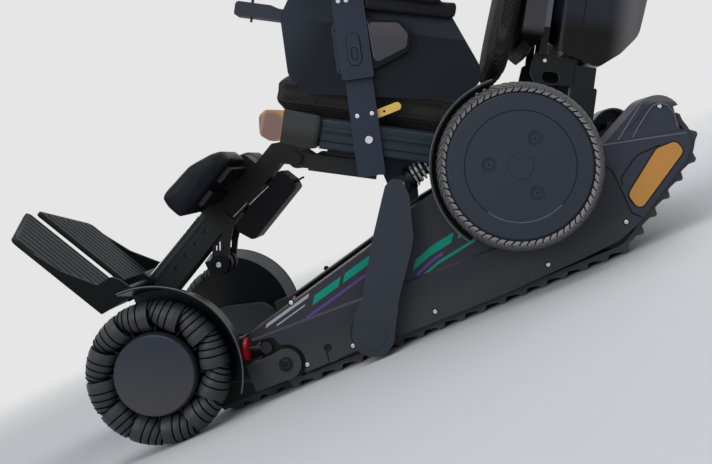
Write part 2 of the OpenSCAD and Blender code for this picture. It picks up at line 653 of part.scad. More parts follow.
shock_y = rail_y0 - 25;
shock_len = norm(shock_top);
shock_angle = atan2(shock_top.y, shock_top.x);
coil_r = 18.5;
spring_from = 32;
spring_to = shock_len - 34;
module along_shock()
    in_seat() both_sides() translate([0, shock_y, 0]) rotate([0, 90 - shock_angle, 0]) children();
module shock_struts()
    color([0.10, 0.10, 0.11]) {
        along_shock() {
            translate([0, 0, 20]) cylinder(r = 23, h = spring_from - 20 - wire_r - 1);
            translate([0, 0, 17]) cylinder(r = 13, h = 60);
            translate([0, 0, 60]) cylinder(r = 7, h = shock_len - 60 - tube_r - 4);
            translate([0, 0, spring_to + wire_r + 1]) cylinder(r = 23, h = 7);
        }
        in_seat() both_sides() difference() {
            union() {
                rod([0, 0], 20, shock_y - 11, shock_y + 11);
                rod(shock_top, 18, shock_y - 9, shock_y + 9);
            }
            rod([0, 0], seat_shaft_r + run, shock_y - 12, shock_y + 12);
            rod(shock_top, tube_r + run, shock_y - 12, shock_y + 12);
            plate(rect(shock_top.x - 20, shock_top.x + 20, rail_w1 - loose, rail_w1 + 20, 0),
                shock_y - 12, shock_y + 12);
        }
    }

// Spring wire: one tube along a helix whose pitch opens upwards, with straight ends
curl_rings = 8;
wire_sides = 6;
coil_h = spring_to - spring_from;
function coil_rise(t) = spring_from + coil_h * (0.7 * t + 0.3 * t * t);
function coil_at(t) = let (a = 360 * curls * t) [coil_r * cos(a), coil_r * sin(a), coil_rise(t)];
coil_n = curls * curl_rings;
wire_path = [for (k = [0:coil_n]) coil_at(k / coil_n)];
wire_dirs = [for (k = [0:coil_n])
    unit(wire_path[min(k + 1, coil_n)] - wire_path[max(k - 1, 0)])];
wire_line = concat([wire_path[0] - wire_dirs[0] * 2 * wire_r], wire_path,
    [wire_path[coil_n] + wire_dirs[coil_n] * 2 * wire_r]);
wire_ways = concat([wire_dirs[0]], wire_dirs, [wire_dirs[coil_n]]);
wire_gap = min([for (i = [0:coil_n], j = [0:coil_n])
    if (j - i > curl_rings / 2) norm(wire_path[j] - wire_path[i]) - 2 * wire_r]);
echo("least gap between spring curls", wire_gap);
module coil() {
    points = [for (k = [0:len(wire_line) - 1])
        let (across = unit([wire_line[k].x, wire_line[k].y, 0]))
        let (side_dir = unit(cross(wire_ways[k], across)), out_dir = cross(side_dir, wire_ways[k]))
        for (j = [0:wire_sides - 1]) wire_line[k]
            + wire_r * (cos(j * 360 / wire_sides) * out_dir + sin(j * 360 / wire_sides) * side_dir)];
    top = (len(wire_line) - 1) * wire_sides;
    faces = concat(
        [for (j = [1:wire_sides - 2]) [0, j + 1, j]],
        [for (j = [1:wire_sides - 2]) [top, top + j, top + j + 1]],
        [for (k = [0:len(wire_line) - 2], j = [0:wire_sides - 1])
            let (p = k * wire_sides + j, q = k * wire_sides + (j + 1) % wire_sides)
            each [[p, q, p + wire_sides], [q, q + wire_sides, p + wire_sides]]]);
    polyhedron(points, faces);
}
module shock_springs()
    color([0.85, 0.86, 0.88]) along_shock() coil();

carrier_y = [rail_y0 - 47, rail_y0 - 19];
module leg_carriers()
    color([0.15, 0.15, 0.17]) in_seat() both_sides() difference() {
        union() {
            along_x(rounded([[carrier_y[0], 4, 3], [carrier_y[1], 4, 3], [carrier_y[1], 40, 3],
                [carrier_y[0], 40, 3]]), -184, -50);
            plate(rect(-152, -64, 38, rail_w0 + 2, 2), carrier_y[0] + 3, carrier_y[1] - 3);
            for (u = [-128, -100])
                plate(rect(u, u + 18, 40, rail_w1, 0), carrier_y[0] + 5, carrier_y[1] - 5);
            rod(knee_at, 19, carrier_y[0] + 2, carrier_y[1] - 2);
            plate(rounded([[knee_at.x, knee_at.y - 17], [-183, 8], [-183, 36],
                [knee_at.x, knee_at.y + 17]]), carrier_y[0] + 2, carrier_y[1] - 2);
        }
        rod(knee_at, knee_r + run, carrier_y[0], carrier_y[1]);
    }

lever_rise = 15.0647;
lever_set = 8;
lever_pin = [lever_set, (rail_w1 + lever_rise - post_foot.y - lever_set * sin(post_lean)) / cos(post_lean)];
lever_pin_r = 4;
lever_y = [rail_y1 - 8.5, rail_y1 - 1];
module arm_posts()
    color([0.21, 0.22, 0.25]) in_arm() both_sides() {
        plate(rounded([[-post_d / 2, 0, 3], [post_d / 2, 0, 3], [post_d / 2, post_top, 3],
            [-post_d / 2, post_top, 3]]), rail_y1 + run, post_y1);
        rod(lever_pin, lever_pin_r, lever_y[0] - 1, rail_y1 + 1);
    }

// Gold lever: an arm from its pin to a round tip, with a small hole
module release_lever(s)
    color([0.78, 0.60, 0.22]) in_arm() side(s) difference() {
        union() {
            rod(lever_pin, 10, lever_y[0], lever_y[1]);
            translate([lever_pin.x, 0, lever_pin.y]) rotate([0, -14, 0])
                plate(rounded([[0, -8, 0], [66, -8, 7.5], [66, 8, 7.5], [0, 8, 0]]),
                    lever_y[0], lever_y[1]);
        }
        rod(lever_pin, lever_pin_r + run, lever_y[0] - 1, lever_y[1] + 1);
        translate([lever_pin.x, 0, lever_pin.y]) rotate([0, -14, 0])
            rod([32, 0], 2.5, lever_y[0] - 1, lever_y[1] + 1);
    }

// Legrest, in a frame that hangs from the knee shaft with its beam upright
beam_p1 = -34;
beam_p0 = beam_p1 - beam_d;
sleeve_q = [-232, -80];
sleeve_half = beam_w / 2 + sleeve_wall;
knee_pq = knee_set * [cos(leg_lean), sin(leg_lean)];
module legrest_frame()
    color([0.09, 0.09, 0.10]) in_leg() {
        rod(knee_pq, knee_r, -carrier_y[1] - 6, carrier_y[1] + 6);
        both_sides() plate(rounded([concat(knee_pq + [13, -13], 9), concat(knee_pq + [13, 13], 9),
            [-34, 16, 6], [-70, -16, 4], [-70, -40, 2], [-30, -40, 4]]), 27, 37);
        plate(rounded([[-73, sleeve_q[1], 0], [-31, sleeve_q[1], 0], [-31, 2, 3], [-55, 2, 3],
            [-73, -20, 3]]), -28, 28);
        difference() {
            plate(rect(beam_p0 - sleeve_wall, beam_p1 + sleeve_wall, sleeve_q[0], sleeve_q[1] + 6, 3),
                -sleeve_half, sleeve_half);
            plate(rect(beam_p0 - loose, beam_p1 + loose, sleeve_q[0] - 1, sleeve_q[1], 1),
                -beam_w / 2 - loose, beam_w / 2 + loose);
        }
        both_sides() for (q = [-190, -130])
            plate(rect(pad_p1 + loose, pad_p1 + 10, q, q + 36, 2), sleeve_half, 165);
        roller_bracket();
    }

// Guide roller: a slotted bracket on each side of the sleeve's foot and a spool with end caps
roller_at = [5, -293];
bracket_y = [sleeve_half, sleeve_half + 6];
slot_turn = 51;
module roller_bracket()
    both_sides() difference() {
        union() {
            plate(rounded([[-60, -198, 3], [-60, -226, 3], [-31, -240, 3], [-31, -272, 4],
                roller_at + [-14, -12], roller_at + [14, 12], [-6, -244, 10], [-29, -198, 3]]),
                bracket_y[0], bracket_y[1]);
            rod(roller_at, 18, bracket_y[0], bracket_y[1]);
        }
        for (k = [-1:1]) translate([-20 + 5.5 * k, 0, -262 + 4.4 * k]) rotate([0, slot_turn, 0])
            plate(rect(-11, 10, -1.7, 1.7, 1.5), bracket_y[0] - 1, bracket_y[1] + 1);
        rod(roller_at, 5 + run, bracket_y[0] - 1, bracket_y[1] + 1);
    }
module leg_roller()
    color([0.10, 0.10, 0.11]) in_leg() {
        turned(roller_at, [[0, 1 - sleeve_half], [22, 1 - sleeve_half], [24, 3 - sleeve_half], [24, -10],
            [20, -8], [20, 8], [24, 10], [24, sleeve_half - 3], [22, sleeve_half - 1],
            [0, sleeve_half - 1]]);
        rod(roller_at, 5, -bracket_y[1] - 1, bracket_y[1] + 1);
        both_sides() {
            rod(roller_at, 20.5, bracket_y[1] + loose, bracket_y[1] + 4);
            rod(roller_at, 5.5, bracket_y[1] + 3, bracket_y[1] + 6);
        }
    }

pad_p1 = -89;
pad_q = [-236, -74];
module calf_pads()
    color([0.12, 0.12, 0.13]) in_leg() both_sides() intersection() {
        plate(rounded([[pad_p1, pad_q[0] + 18, 6], [pad_p1, pad_q[1], 4], [-118, pad_q[1], 12],
            [-147, -140, 40], [-152, -222, 10], [-132, pad_q[0] + 4, 8], [-101, pad_q[0], 8]]), 50, 182);
        along_z(rect(-156, pad_p1 + 1, 50, 182, 16), pad_q[0] - 1, pad_q[1] + 1);
        along_x(rect(50, 182, pad_q[0], pad_q[1], 24), -160, pad_p1 + 2);
    }

box_p = [beam_p1 + sleeve_wall + 7, 31];
module leg_motor_box()
    color([0.08, 0.08, 0.085]) in_leg() {
        for (q = [-178, -98])
            plate(rect(beam_p1 + sleeve_wall + loose, box_p[0] + 2, q, q + 16, 0), -14, 14);
        plate(rounded([[box_p[0], -203, 2], [-8, -212, 8], [25, -206, 3], [box_p[1], -200, 3],
            [box_p[1], -58, 8], [14, -50, 3], [-18, -50, 3], [box_p[0], -58, 2]]), -40, 40);
        translate([14, -30, -62]) rotate([0, 25, 0]) cylinder(r = 4.5, h = 20);
        translate([14, -30, -62]) rotate([0, 25, 0]) cylinder(r = 2.2, h = 34);
    }

// Sliding beam with its row of holes and the heel bar that carries the footplates
heel_at = [-95, -425];
foot_y = [sleeve_half + 4, 182];
foot_in = 18;
beam_q = [-446, -152];
beam_round = 14;
module foot_beam()
    color([0.10, 0.10, 0.11]) in_leg() {
        difference() {
            along_z(rounded([[beam_p0, -beam_w / 2, beam_round], [beam_p1, -beam_w / 2, 3],
                [beam_p1, beam_w / 2, 3], [beam_p0, beam_w / 2, beam_round]]), beam_q[0], beam_q[1]);
            for (k = [0:3]) rod([-67, -259 - 34.7 * k], 4.5, -beam_w, beam_w);
            both_sides() plate(rect(beam_p0 + 18, beam_p0 + 21, beam_q[0] - 1, beam_q[1] + 1, 0),
                beam_w / 2 - 2, beam_w);
        }
        plate(rect(heel_at.x - 20, beam_p1, heel_at.y - 21, heel_at.y + 16, 6),
            -foot_y[0] + 1, foot_y[0] - 1);
        rod(heel_at, heel_r, -foot_y[1] + 2, foot_y[1] - 2);
    }

// Footplate: a ribbed sole, an outer cheek that rises to the heel and an inner hinge lug
sole_q = [-478, -471];
toe_p = heel_at.x - foot_len;
cheek_t = 7;
rib_count = 9;
cheek_pts = [[-97, sole_q[0], 4], [-76, -420, 8], [-82, -400, 8], [-112, -402, 12], [-130, -408, 10],
    [-140, -438, 10], [-215, -462, 60], [-290, sole_q[1], 0], [-290, sole_q[0], 0]];
function rib_y(k) = foot_in + 9 + k * (foot_y[1] - foot_in - 20) / (rib_count - 1);
function toe_edge(y) = toe_p + 70 * (y - foot_in) / (foot_y[1] - foot_in);
module footplate(s)
    color([0.25, 0.27, 0.30]) in_leg() side(s) difference() {
        union() {
            along_z(rounded([[heel_at.x - 4, foot_y[0], 3], [heel_at.x - 4, foot_y[1], 3],
                [toe_edge(foot_y[1]), foot_y[1], 22], [toe_p, foot_in, 12],
                [heel_at.x - 26, foot_in, 4], [heel_at.x - 26, foot_y[0], 0]]), sole_q[0], sole_q[1]);
            for (k = [0:rib_count - 1])
                along_z(rect(toe_edge(rib_y(k)) + 9, heel_at.x - 36, rib_y(k) - 3.5, rib_y(k) + 3.5, 2),
                    sole_q[1] - 1, sole_q[1] + 2);
            plate(rounded(cheek_pts), foot_y[1] - cheek_t, foot_y[1]);
            plate(rounded([[-97, sole_q[0], 4], [-78, heel_at.y, 6], [-84, heel_at.y + 16, 8],
                [-110, heel_at.y + 16, 10], [-150, sole_q[1], 4], [-150, sole_q[0], 0]]),
                foot_y[0], foot_y[0] + cheek_t);
        }
        rod(heel_at, heel_r + run, foot_y[0] - 1, foot_y[1] - 1.9);
    }

// Backrest, level in the seat's frame
tube_gap = 6;
back_u = [back_at.x - back_d / 2, back_at.x + back_d / 2];
bar_u = [242, 258];
module back_posts()
    color([0.16, 0.16, 0.18]) in_seat() {
        both_sides() {
            difference() {
                plate(rect(back_u[0], back_u[1], back_at.y - 24, 246, 5), back_y0, back_y1);
                rod(back_at, back_shaft_r, back_y0 - 1, back_y1 + 1);
            }
            plate(rect(back_u[0] + tube_gap, back_u[1] - tube_gap, 245, 288, 3), back_y0 + 4, back_y1 - 4);
            difference() {
                plate(rounded([[244, 240, 4], [back_u[0] + 10, 246, 2], [back_u[0] + 8, 300, 4],
                    [234, 306, 8], [230, 262, 4]]), back_y0 + 8, back_y0 + 18);
                plate(rect(256, 292, 246, 270, 11), back_y0 + 7, back_y0 + 19);
            }
            plate(rect(bar_u[0], bar_u[1], 300, 660, 3), back_y0 + 8, back_y1);
        }
        rod(back_at, back_shaft_r, -pod_in + 1, pod_in - 1);
    }

back_w0 = 236;
back_pad_t = 50;
back_pad_u = 172.1;
module back_cushion()
    color([0.07, 0.07, 0.075]) in_seat() translate([back_pad_u, 0, back_w0 + back_h / 2])
        rotate([0, -86, 0]) cushion([back_h, 380, back_pad_t], 0.34);

module back_shell()
    color([0.28, 0.28, 0.29]) in_seat() intersection() {
        plate(rounded([[204, 322, 4], [222, 309, 4], [bar_u[0] - loose, 330, 6], [bar_u[0] - loose, 690, 20],
            [228, 724, 6], [210, 700, 10], [200, 335, 4]]), -186, 186);
        along_x(rect(-186, 186, 305, 730, 40), 150, 300);
    }

module rear_pod()
    color([0.12, 0.12, 0.13]) in_seat() intersection() {
        plate(rounded([[bar_u[1] + loose, 330, 10], [292, 308, 14], [365, 289, 20], [406, 322, 40],
            [440, 366, 50], [452, 460, 60], [448, 600, 60], [400, 650, 30], [bar_u[1] + loose, 655, 10]]),
            -pod_in + 6, pod_in - 6);
        along_z(rect(bar_u[1], 456, -pod_in + 6, pod_in - 6, 36), 280, 660);
    }

// Armrest: a sleeve on the post, a side panel inside it and a pad on a rail above
button_s = 242;
function button_pts(d) = rect(-11.5 - d, 11.5 + d, button_s - 30 - d, button_s + 30 + d, 11.4 + d);
module arm_sleeve(s)
    color([0.21, 0.22, 0.25]) in_arm() side(s) difference() {
        plate(rect(-sleeve_back, sleeve_back, sleeve_s0, sleeve_s1, 3), sleeve_y0, sleeve_y1);
        plate(rect(-post_d / 2 - loose, post_d / 2 + loose, sleeve_s0 - 1, sleeve_s1 - 8, 0.5),
            rail_y1 - loose, post_y1 + loose);
        plate(button_pts(loose), sleeve_y1 - 8, sleeve_y1 + 1);
    }

button_proud = 2;
module arm_button(s)
    color([0.17, 0.18, 0.20]) in_arm() side(s) difference() {
        plate(button_pts(0), sleeve_y1 - 4.5, sleeve_y1 + button_proud);
        plate(rect(-7, 7, button_s - 24, button_s + 4, 6.8), sleeve_y1 + 0.5, sleeve_y1 + 4);
    }

panel_top = pad_w0 - pad_gap;
panel_pts = [[-205, 151, 30], [85, 177, 40], [128, 216, 20], [125, panel_top - 100, 30],
    [56, panel_top - 10, 8], [44, panel_top, 4], [-254, panel_top, 30], [-271, panel_top - 56, 20],
    [-241, 184, 20]];
panel_y = [sleeve_y0 - 8, sleeve_y0 - 0.5];
module side_panel(s)
    color([0.15, 0.17, 0.20]) in_seat() side(s) {
        plate(rounded(panel_pts), panel_y[0], panel_y[1]);
        plate(rounded([concat(arm_point(sleeve_back + loose, sleeve_s1 - 141), 4),
            [-14, panel_top - 90, 14], [-15, panel_top - 56, 12], [-39, panel_top - 35, 16],
            concat(arm_point(sleeve_back + loose, sleeve_s1 - 45), 4)]),
            panel_y[1] - 1, sleeve_y1 - 6);
    }

pad_y = [sleeve_y0 - 2, sleeve_y1 + 22];
module arm_pad(s)
    color([0.10, 0.10, 0.11]) in_seat() side(s) {
        along_x(rounded([[pad_y[0] + 6, pad_w0, 3], [pad_y[1] - 6, pad_w0, 3], [pad_y[1], pad_w0 + 14, 8],
            [pad_y[1] - 6, pad_w0 + 40, 12], [pad_y[0] + 6, pad_w0 + 40, 12], [pad_y[0], pad_w0 + 14, 8]]),
            -248, 30);
        plate(rounded([arm_point(sleeve_back + loose, sleeve_s1 - 25), [50, pad_w0 - 22, 8],
            [64, pad_w0 - 14, 8], [64, pad_w0 + 8, 4], [-104, pad_w0 + 8, 0],
            arm_point(sleeve_back + loose, sleeve_s1)]), sleeve_y0 + 1, sleeve_y1);
    }

// Joystick on the right armrest: console, gimbal ring and stick
stick_at = [-452, (pad_y[0] + pad_y[1]) / 2, pad_w0 + 30];
gimbal_r = 11;
ball_r = 6;
trunnion_r = 2;
trunnion_end = gimbal_r + 3;
stick_pin_r = 1.6;
module joystick_console()
    color([0.17, 0.18, 0.20]) in_seat() difference() {
        union() {
            plate(rounded([[-490, pad_w0, 6], [-248 - loose, pad_w0 + 2, 3], [-248 - loose, pad_w0 + 30, 3],
                [-380, pad_w0 + 30, 10], [-400, pad_w0 + 36, 10], [-490, pad_w0 + 36, 10]]),
                pad_y[0] + 6, pad_y[1] - 6);
            translate([-446, stick_at.y - 12, pad_w0 - 12]) cylinder(r = 3, h = 14);
        }
        translate([stick_at.x, stick_at.y, pad_w0 + 16]) cylinder(r = gimbal_r + loose, h = 40);
        translate(stick_at) rotate([0, 90, 0])
            cylinder(r = trunnion_r + run, h = 2 * trunnion_end + 1, center = true);
    }
module joystick_gimbal()
    color([0.30, 0.31, 0.33]) in_seat() translate(stick_at) difference() {
        union() {
            intersection() {
                sphere(r = gimbal_r);
                translate([0, 0, -7]) cylinder(r = gimbal_r + 1, h = 12);
            }
            rotate([0, 90, 0]) cylinder(r = trunnion_r, h = 2 * trunnion_end, center = true);
        }
        translate([0, 0, -ball_r - 0.2]) cylinder(r = ball_r + loose, h = 20);
        rotate([90, 0, 0]) cylinder(r = stick_pin_r + run, h = 2 * gimbal_r + 2, center = true);
    }
module joystick_stick()
    color([0.08, 0.08, 0.09]) in_seat() translate(stick_at) {
        sphere(r = ball_r);
        rotate([90, 0, 0]) cylinder(r = stick_pin_r, h = 2 * (gimbal_r - 2), center = true);
        cylinder(r = 3.6, h = 34);
        translate([0, 0, 30]) rotate_extrude()
            polygon(rounded([[0, 0], [8, 0, 2], [12, 16, 6], [9, 26, 4], [0, 27]]));
    }

centred() side_covers();
centred() chassis_frame();
centred() track_belts();
centred() sprocket_covers();
centred() amber_panels();
centred() battery_case();
centred() drive_motors();
centred() front_dampers();
centred() sprocket(LEFT);  // left_sprocket
centred() sprocket(RIGHT);  // right_sprocket
centred() idler(LEFT);  // left_idler
centred() idler(RIGHT);  // right_idler
centred() front_arm(LEFT);  // left_front_arm
centred() front_arm(RIGHT);  // right_front_arm
centred() mudguard(LEFT);  // left_mudguard
centred() mudguard(RIGHT);  // right_mudguard
centred() omni_hub(LEFT);  // left_omni_hub
centred() omni_hub(RIGHT);  // right_omni_hub
centred() rollers(LEFT);  // left_rollers
centred() rollers(RIGHT);  // right_rollers
centred() lift_arms();
centred() lift_shafts();
centred() wheel_arms();
centred() rear_fenders();
centred() tyre(LEFT);  // left_tyre
centred() tyre(RIGHT);  // right_tyre
centred() wheel_disc(LEFT);  // left_wheel_disc
centred() wheel_disc(RIGHT);  // right_wheel_disc
centred() seat_frame();
centred() seat_cushion();
centred() lamp_housings();
centred() amber_lamps();
centred() shock_struts();
centred() shock_springs();
centred() leg_carriers();
centred() arm_posts();
centred() legrest_frame();
centred() calf_pads();
centred() leg_motor_box();
centred() leg_roller();
centred() foot_beam();
centred() footplate(LEFT);  // left_footplate
centred() footplate(RIGHT);  // right_footplate
centred() back_posts();
centred() back_cushion();
centred() back_shell();
centred() rear_pod();
centred() arm_sleeve(LEFT);  // left_arm_sleeve
centred() arm_sleeve(RIGHT);  // right_arm_sleeve
centred() side_panel(LEFT);  // left_side_panel
centred() side_panel(RIGHT);  // right_side_panel
centred() arm_pad(LEFT);  // left_arm_pad
centred() arm_pad(RIGHT);  // right_arm_pad
centred() arm_button(LEFT);  // left_arm_button
centred() arm_button(RIGHT);  // right_arm_button
centred() release_lever(LEFT);  // left_release_lever
centred() release_lever(RIGHT);  // right_release_lever
centred() joystick_console();
centred() joystick_gimbal();
centred() joystick_stick();
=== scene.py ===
import math

import bpy
from mathutils import Matrix, Vector


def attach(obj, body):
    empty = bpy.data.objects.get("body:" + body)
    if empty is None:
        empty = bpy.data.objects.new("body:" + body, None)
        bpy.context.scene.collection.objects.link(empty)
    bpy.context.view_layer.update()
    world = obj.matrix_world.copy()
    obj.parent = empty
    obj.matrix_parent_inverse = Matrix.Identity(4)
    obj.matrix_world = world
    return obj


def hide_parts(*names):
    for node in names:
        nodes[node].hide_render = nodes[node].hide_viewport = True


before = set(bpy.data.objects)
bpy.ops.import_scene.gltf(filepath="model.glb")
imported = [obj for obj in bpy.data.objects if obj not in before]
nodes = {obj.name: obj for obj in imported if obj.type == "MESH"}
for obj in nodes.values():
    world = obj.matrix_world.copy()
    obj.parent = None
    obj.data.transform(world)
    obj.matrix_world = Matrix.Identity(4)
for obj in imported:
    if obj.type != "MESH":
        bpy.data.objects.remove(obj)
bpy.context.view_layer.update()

scene = bpy.context.scene

# Camera: square to the chair's left side and rolled by the chair's own lean.
# The studio has a pale floor that fades into a near-white wall, lit by large soft lamps.
ROLL = math.radians(22.3)
CENTRE_X = 0.146885
CAMERA_PLACE = (CENTRE_X, -1.795, 0.3072)
PICTURE_WIDE = 712
FOCAL_PIXELS = 811
SHIFT_PIXELS = (-84, -74)
SENSOR = 36.0
camera_data = bpy.data.cameras.new("photo_camera")
camera = bpy.data.objects.new("photo_camera", camera_data)
scene.collection.objects.link(camera)
camera_data.sensor_width = SENSOR
camera_data.lens = SENSOR * FOCAL_PIXELS / PICTURE_WIDE
camera_data.shift_x, camera_data.shift_y = (pixels / PICTURE_WIDE for pixels in SHIFT_PIXELS)
camera_data.clip_start = 0.05
right_way = Vector((math.cos(ROLL), 0, -math.sin(ROLL)))
up_way = Vector((math.sin(ROLL), 0, math.cos(ROLL)))
back_way = Vector((0, -1, 0))
turn = Matrix((right_way, up_way, back_way)).transposed().to_4x4()
camera.matrix_world = Matrix.Translation(CAMERA_PLACE) @ turn
scene.camera = camera
scene.view_settings.view_transform = "Standard"


def soft_lamp(name, place, aim, size, power):
    """A large flat lamp at place that faces aim."""
    data = bpy.data.lights.new(name, "AREA")
    data.shape = "RECTANGLE"
    data.size, data.size_y = size
    data.energy = power
    lamp = bpy.data.objects.new(name, data)
    scene.collection.objects.link(lamp)
    lamp.location = place
    way = Vector(aim) - Vector(place)
    lamp.rotation_euler = way.to_track_quat("-Z", "Y").to_euler()


soft_lamp("top_lamp", (0.5, -0.5, 3.2), (0, 0, 0.3), (3.0, 2.2), 62)
soft_lamp("side_lamp", (-1.6, -2.8, 2.0), (0, 0, 0.3), (2.2, 2.0), 40)
soft_lamp("back_lamp", (2.4, 1.8, 2.2), (0, 0, 0.4), (2.0, 1.6), 52)


def math_node(tree, operation, a, b=None, c=None, clamp=False):
    """The result of one sum on numbers or sockets."""
    made = tree.nodes.new("ShaderNodeMath")
    made.operation = operation
    made.use_clamp = clamp
    for socket, value in zip(made.inputs, (a, b, c)):
        if isinstance(value, (int, float)):
            socket.default_value = value
        elif value is not None:
            tree.links.new(value, socket)
    return made.outputs[0]


def vector_node(tree, operation, vector, other=None):
    """The outputs of one vector sum on a socket and a fixed vector."""
    made = tree.nodes.new("ShaderNodeVectorMath")
    made.operation = operation
    tree.links.new(vector, made.inputs[0])
    if other is not None:
        made.inputs[1].default_value = other
    return made.outputs


def object_place(tree):
    """Where the surface lies in the part's own frame."""
    return tree.nodes.new("ShaderNodeTexCoord").outputs["Object"]


world = bpy.data.worlds.new("studio")
scene.world = world
world.use_nodes = True
sky = world.node_tree
sky.nodes["Background"].inputs["Strength"].default_value = 0.42
sky.nodes["Background"].inputs["Color"].default_value = (0.90, 0.95, 1.06, 1)
seen = sky.nodes.new("ShaderNodeBackground")
seen.inputs["Color"].default_value = (0.79, 0.79, 0.79, 1)
rays = sky.nodes.new("ShaderNodeLightPath")
through = math_node(sky, "MAXIMUM", rays.outputs["Is Camera Ray"], rays.outputs["Is Transmission Ray"])
shown = math_node(sky, "MAXIMUM", through, rays.outputs["Is Glossy Ray"])
pick = sky.nodes.new("ShaderNodeMixShader")
sky.links.new(shown, pick.inputs["Fac"])
sky.links.new(sky.nodes["Background"].outputs[0], pick.inputs[1])
sky.links.new(seen.outputs[0], pick.inputs[2])
sky.links.new(pick.outputs[0], sky.nodes["World Output"].inputs["Surface"])


def clear_selection():
    """Leaves edit mode with nothing selected."""
    if bpy.context.mode != "OBJECT":
        bpy.ops.object.mode_set(mode="OBJECT")
    bpy.ops.object.select_all(action="DESELECT")


clear_selection()
bpy.ops.mesh.primitive_plane_add(size=16)
floor = bpy.context.object
floor.name = "floor"
floor_paint = bpy.data.materials.new("pale_floor")
floor_paint.use_nodes = True
ground = floor_paint.node_tree
floor_bsdf = ground.nodes["Principled BSDF"]
floor_bsdf.inputs["Base Color"].default_value = (0.50, 0.50, 0.51, 1)
floor_bsdf.inputs["Roughness"].default_value = 0.85
floor_bsdf.inputs["Specular IOR Level"].default_value = 0.2
reach = vector_node(ground, "LENGTH", object_place(ground))
fade = ground.nodes.new("ShaderNodeMapRange")
fade.interpolation_type = "SMOOTHSTEP"
fade.inputs["From Min"].default_value = 1.0
fade.inputs["From Max"].default_value = 3.4
ground.links.new(reach["Value"], fade.inputs["Value"])
clear_floor = ground.nodes.new("ShaderNodeBsdfTransparent")
floor_mix = ground.nodes.new("ShaderNodeMixShader")
ground.links.new(fade.outputs["Result"], floor_mix.inputs["Fac"])
ground.links.new(floor_bsdf.outputs[0], floor_mix.inputs[1])
ground.links.new(clear_floor.outputs[0], floor_mix.inputs[2])
ground.links.new(floor_mix.outputs[0], ground.nodes["Material Output"].inputs["Surface"])
floor.data.materials.append(floor_paint)

# Side unit frames: black powder-coated plates and tubes bolted into one chassis, with the battery
# case on its cross bars and the drive motors between the tracks. The coat has a fine grain.
SIDES = (("left", -1), ("right", 1))


def node_group(name, inputs, outputs):
    """A shader group with number inputs and outputs, and its two end nodes."""
    tree = bpy.data.node_groups.new(name, "ShaderNodeTree")
    for label, value in inputs:
        made = tree.interface.new_socket(name=label, in_out="INPUT", socket_type="NodeSocketFloat")
        made.default_value = value
    for label in outputs:
        tree.interface.new_socket(name=label, in_out="OUTPUT", socket_type="NodeSocketFloat")
    return tree, tree.nodes.new("NodeGroupInput"), tree.nodes.new("NodeGroupOutput")


grain, grain_in, grain_out = node_group("surface_grain", [("Scale", 900.0)], ["Height", "Mottle"])
where = object_place(grain)
fine = grain.nodes.new("ShaderNodeTexNoise")
fine.inputs["Detail"].default_value = 3
grain.links.new(where, fine.inputs["Vector"])
grain.links.new(grain_in.outputs["Scale"], fine.inputs["Scale"])
broad = grain.nodes.new("ShaderNodeTexNoise")
broad.inputs["Scale"].default_value = 9
broad.inputs["Detail"].default_value = 6
grain.links.new(where, broad.inputs["Vector"])
grain.links.new(fine.outputs["Fac"], grain_out.inputs["Height"])
grain.links.new(broad.outputs["Fac"], grain_out.inputs["Mottle"])

# Painted highlight: edges found from the bevel normal, broken up by noise, are painted paler as if catching
# the light.
edges, edges_in, edges_out = node_group("painted_edge_highlight", [("Radius", 0.0012)], ["Mask"])
soft_edge = edges.nodes.new("ShaderNodeBevel")
soft_edge.samples = 4
edges.links.new(edges_in.outputs["Radius"], soft_edge.inputs["Radius"])
surface = edges.nodes.new("ShaderNodeNewGeometry")
facing = edges.nodes.new("ShaderNodeVectorMath")
facing.operation = "DOT_PRODUCT"
edges.links.new(soft_edge.outputs["Normal"], facing.inputs[0])
edges.links.new(surface.outputs["Normal"], facing.inputs[1])
turned_away = math_node(edges, "SUBTRACT", 1.0, facing.outputs["Value"])
highlight_noise = edges.nodes.new("ShaderNodeTexNoise")
highlight_noise.inputs["Scale"].default_value = 60
edges.links.new(object_place(edges), highlight_noise.inputs["Vector"])
broken_highlight = math_node(edges, "MULTIPLY", turned_away, highlight_noise.outputs["Fac"])
edges.links.new(math_node(edges, "MULTIPLY", broken_highlight, 7.0, clamp=True), edges_out.inputs["Mask"])


def mix_colour(tree, mask, first, second):
    """The first colour, or the second where the mask is 1."""
    made = tree.nodes.new("ShaderNodeMix")
    made.data_type = "RGBA"
    tree.links.new(mask, made.inputs["Factor"])
    for label, value in (("A", first), ("B", second)):
        if isinstance(value, tuple):
            made.inputs[label].default_value = (*value, 1)
        else:
            tree.links.new(value, made.inputs[label])
    return made.outputs["Result"]


def past_plane(tree, place, way):
    """1 where the surface lies beyond the plane through place, square to way."""
    along = vector_node(tree, "DOT_PRODUCT", object_place(tree), way)
    return math_node(tree, "GREATER_THAN", along["Value"], Vector(place).dot(Vector(way)))


def ramp_along(tree, place, way, width):
    """Rises softly from 0 to 1 across the plane through place, over the width along way."""
    along = vector_node(tree, "DOT_PRODUCT", object_place(tree), way)
    rise = tree.nodes.new("ShaderNodeMapRange")
    rise.interpolation_type = "SMOOTHSTEP"
    middle = Vector(place).dot(Vector(way))
    rise.inputs["From Min"].default_value = middle - width / 2
    rise.inputs["From Max"].default_value = middle + width / 2
    tree.links.new(along["Value"], rise.inputs["Value"])
    return rise.outputs["Result"]


def past_radius(tree, place, radius, width):
    """Rises softly from 0 to 1 at the radius from the line through place along Y."""
    apart = vector_node(tree, "SUBTRACT", object_place(tree), place)
    level = vector_node(tree, "MULTIPLY", apart["Vector"], (1, 0, 1))
    reach_out = vector_node(tree, "LENGTH", level["Vector"])
    over = math_node(tree, "SUBTRACT", reach_out["Value"], radius)
    return math_node(tree, "MULTIPLY_ADD", over, 1 / width, 0.5, clamp=True)


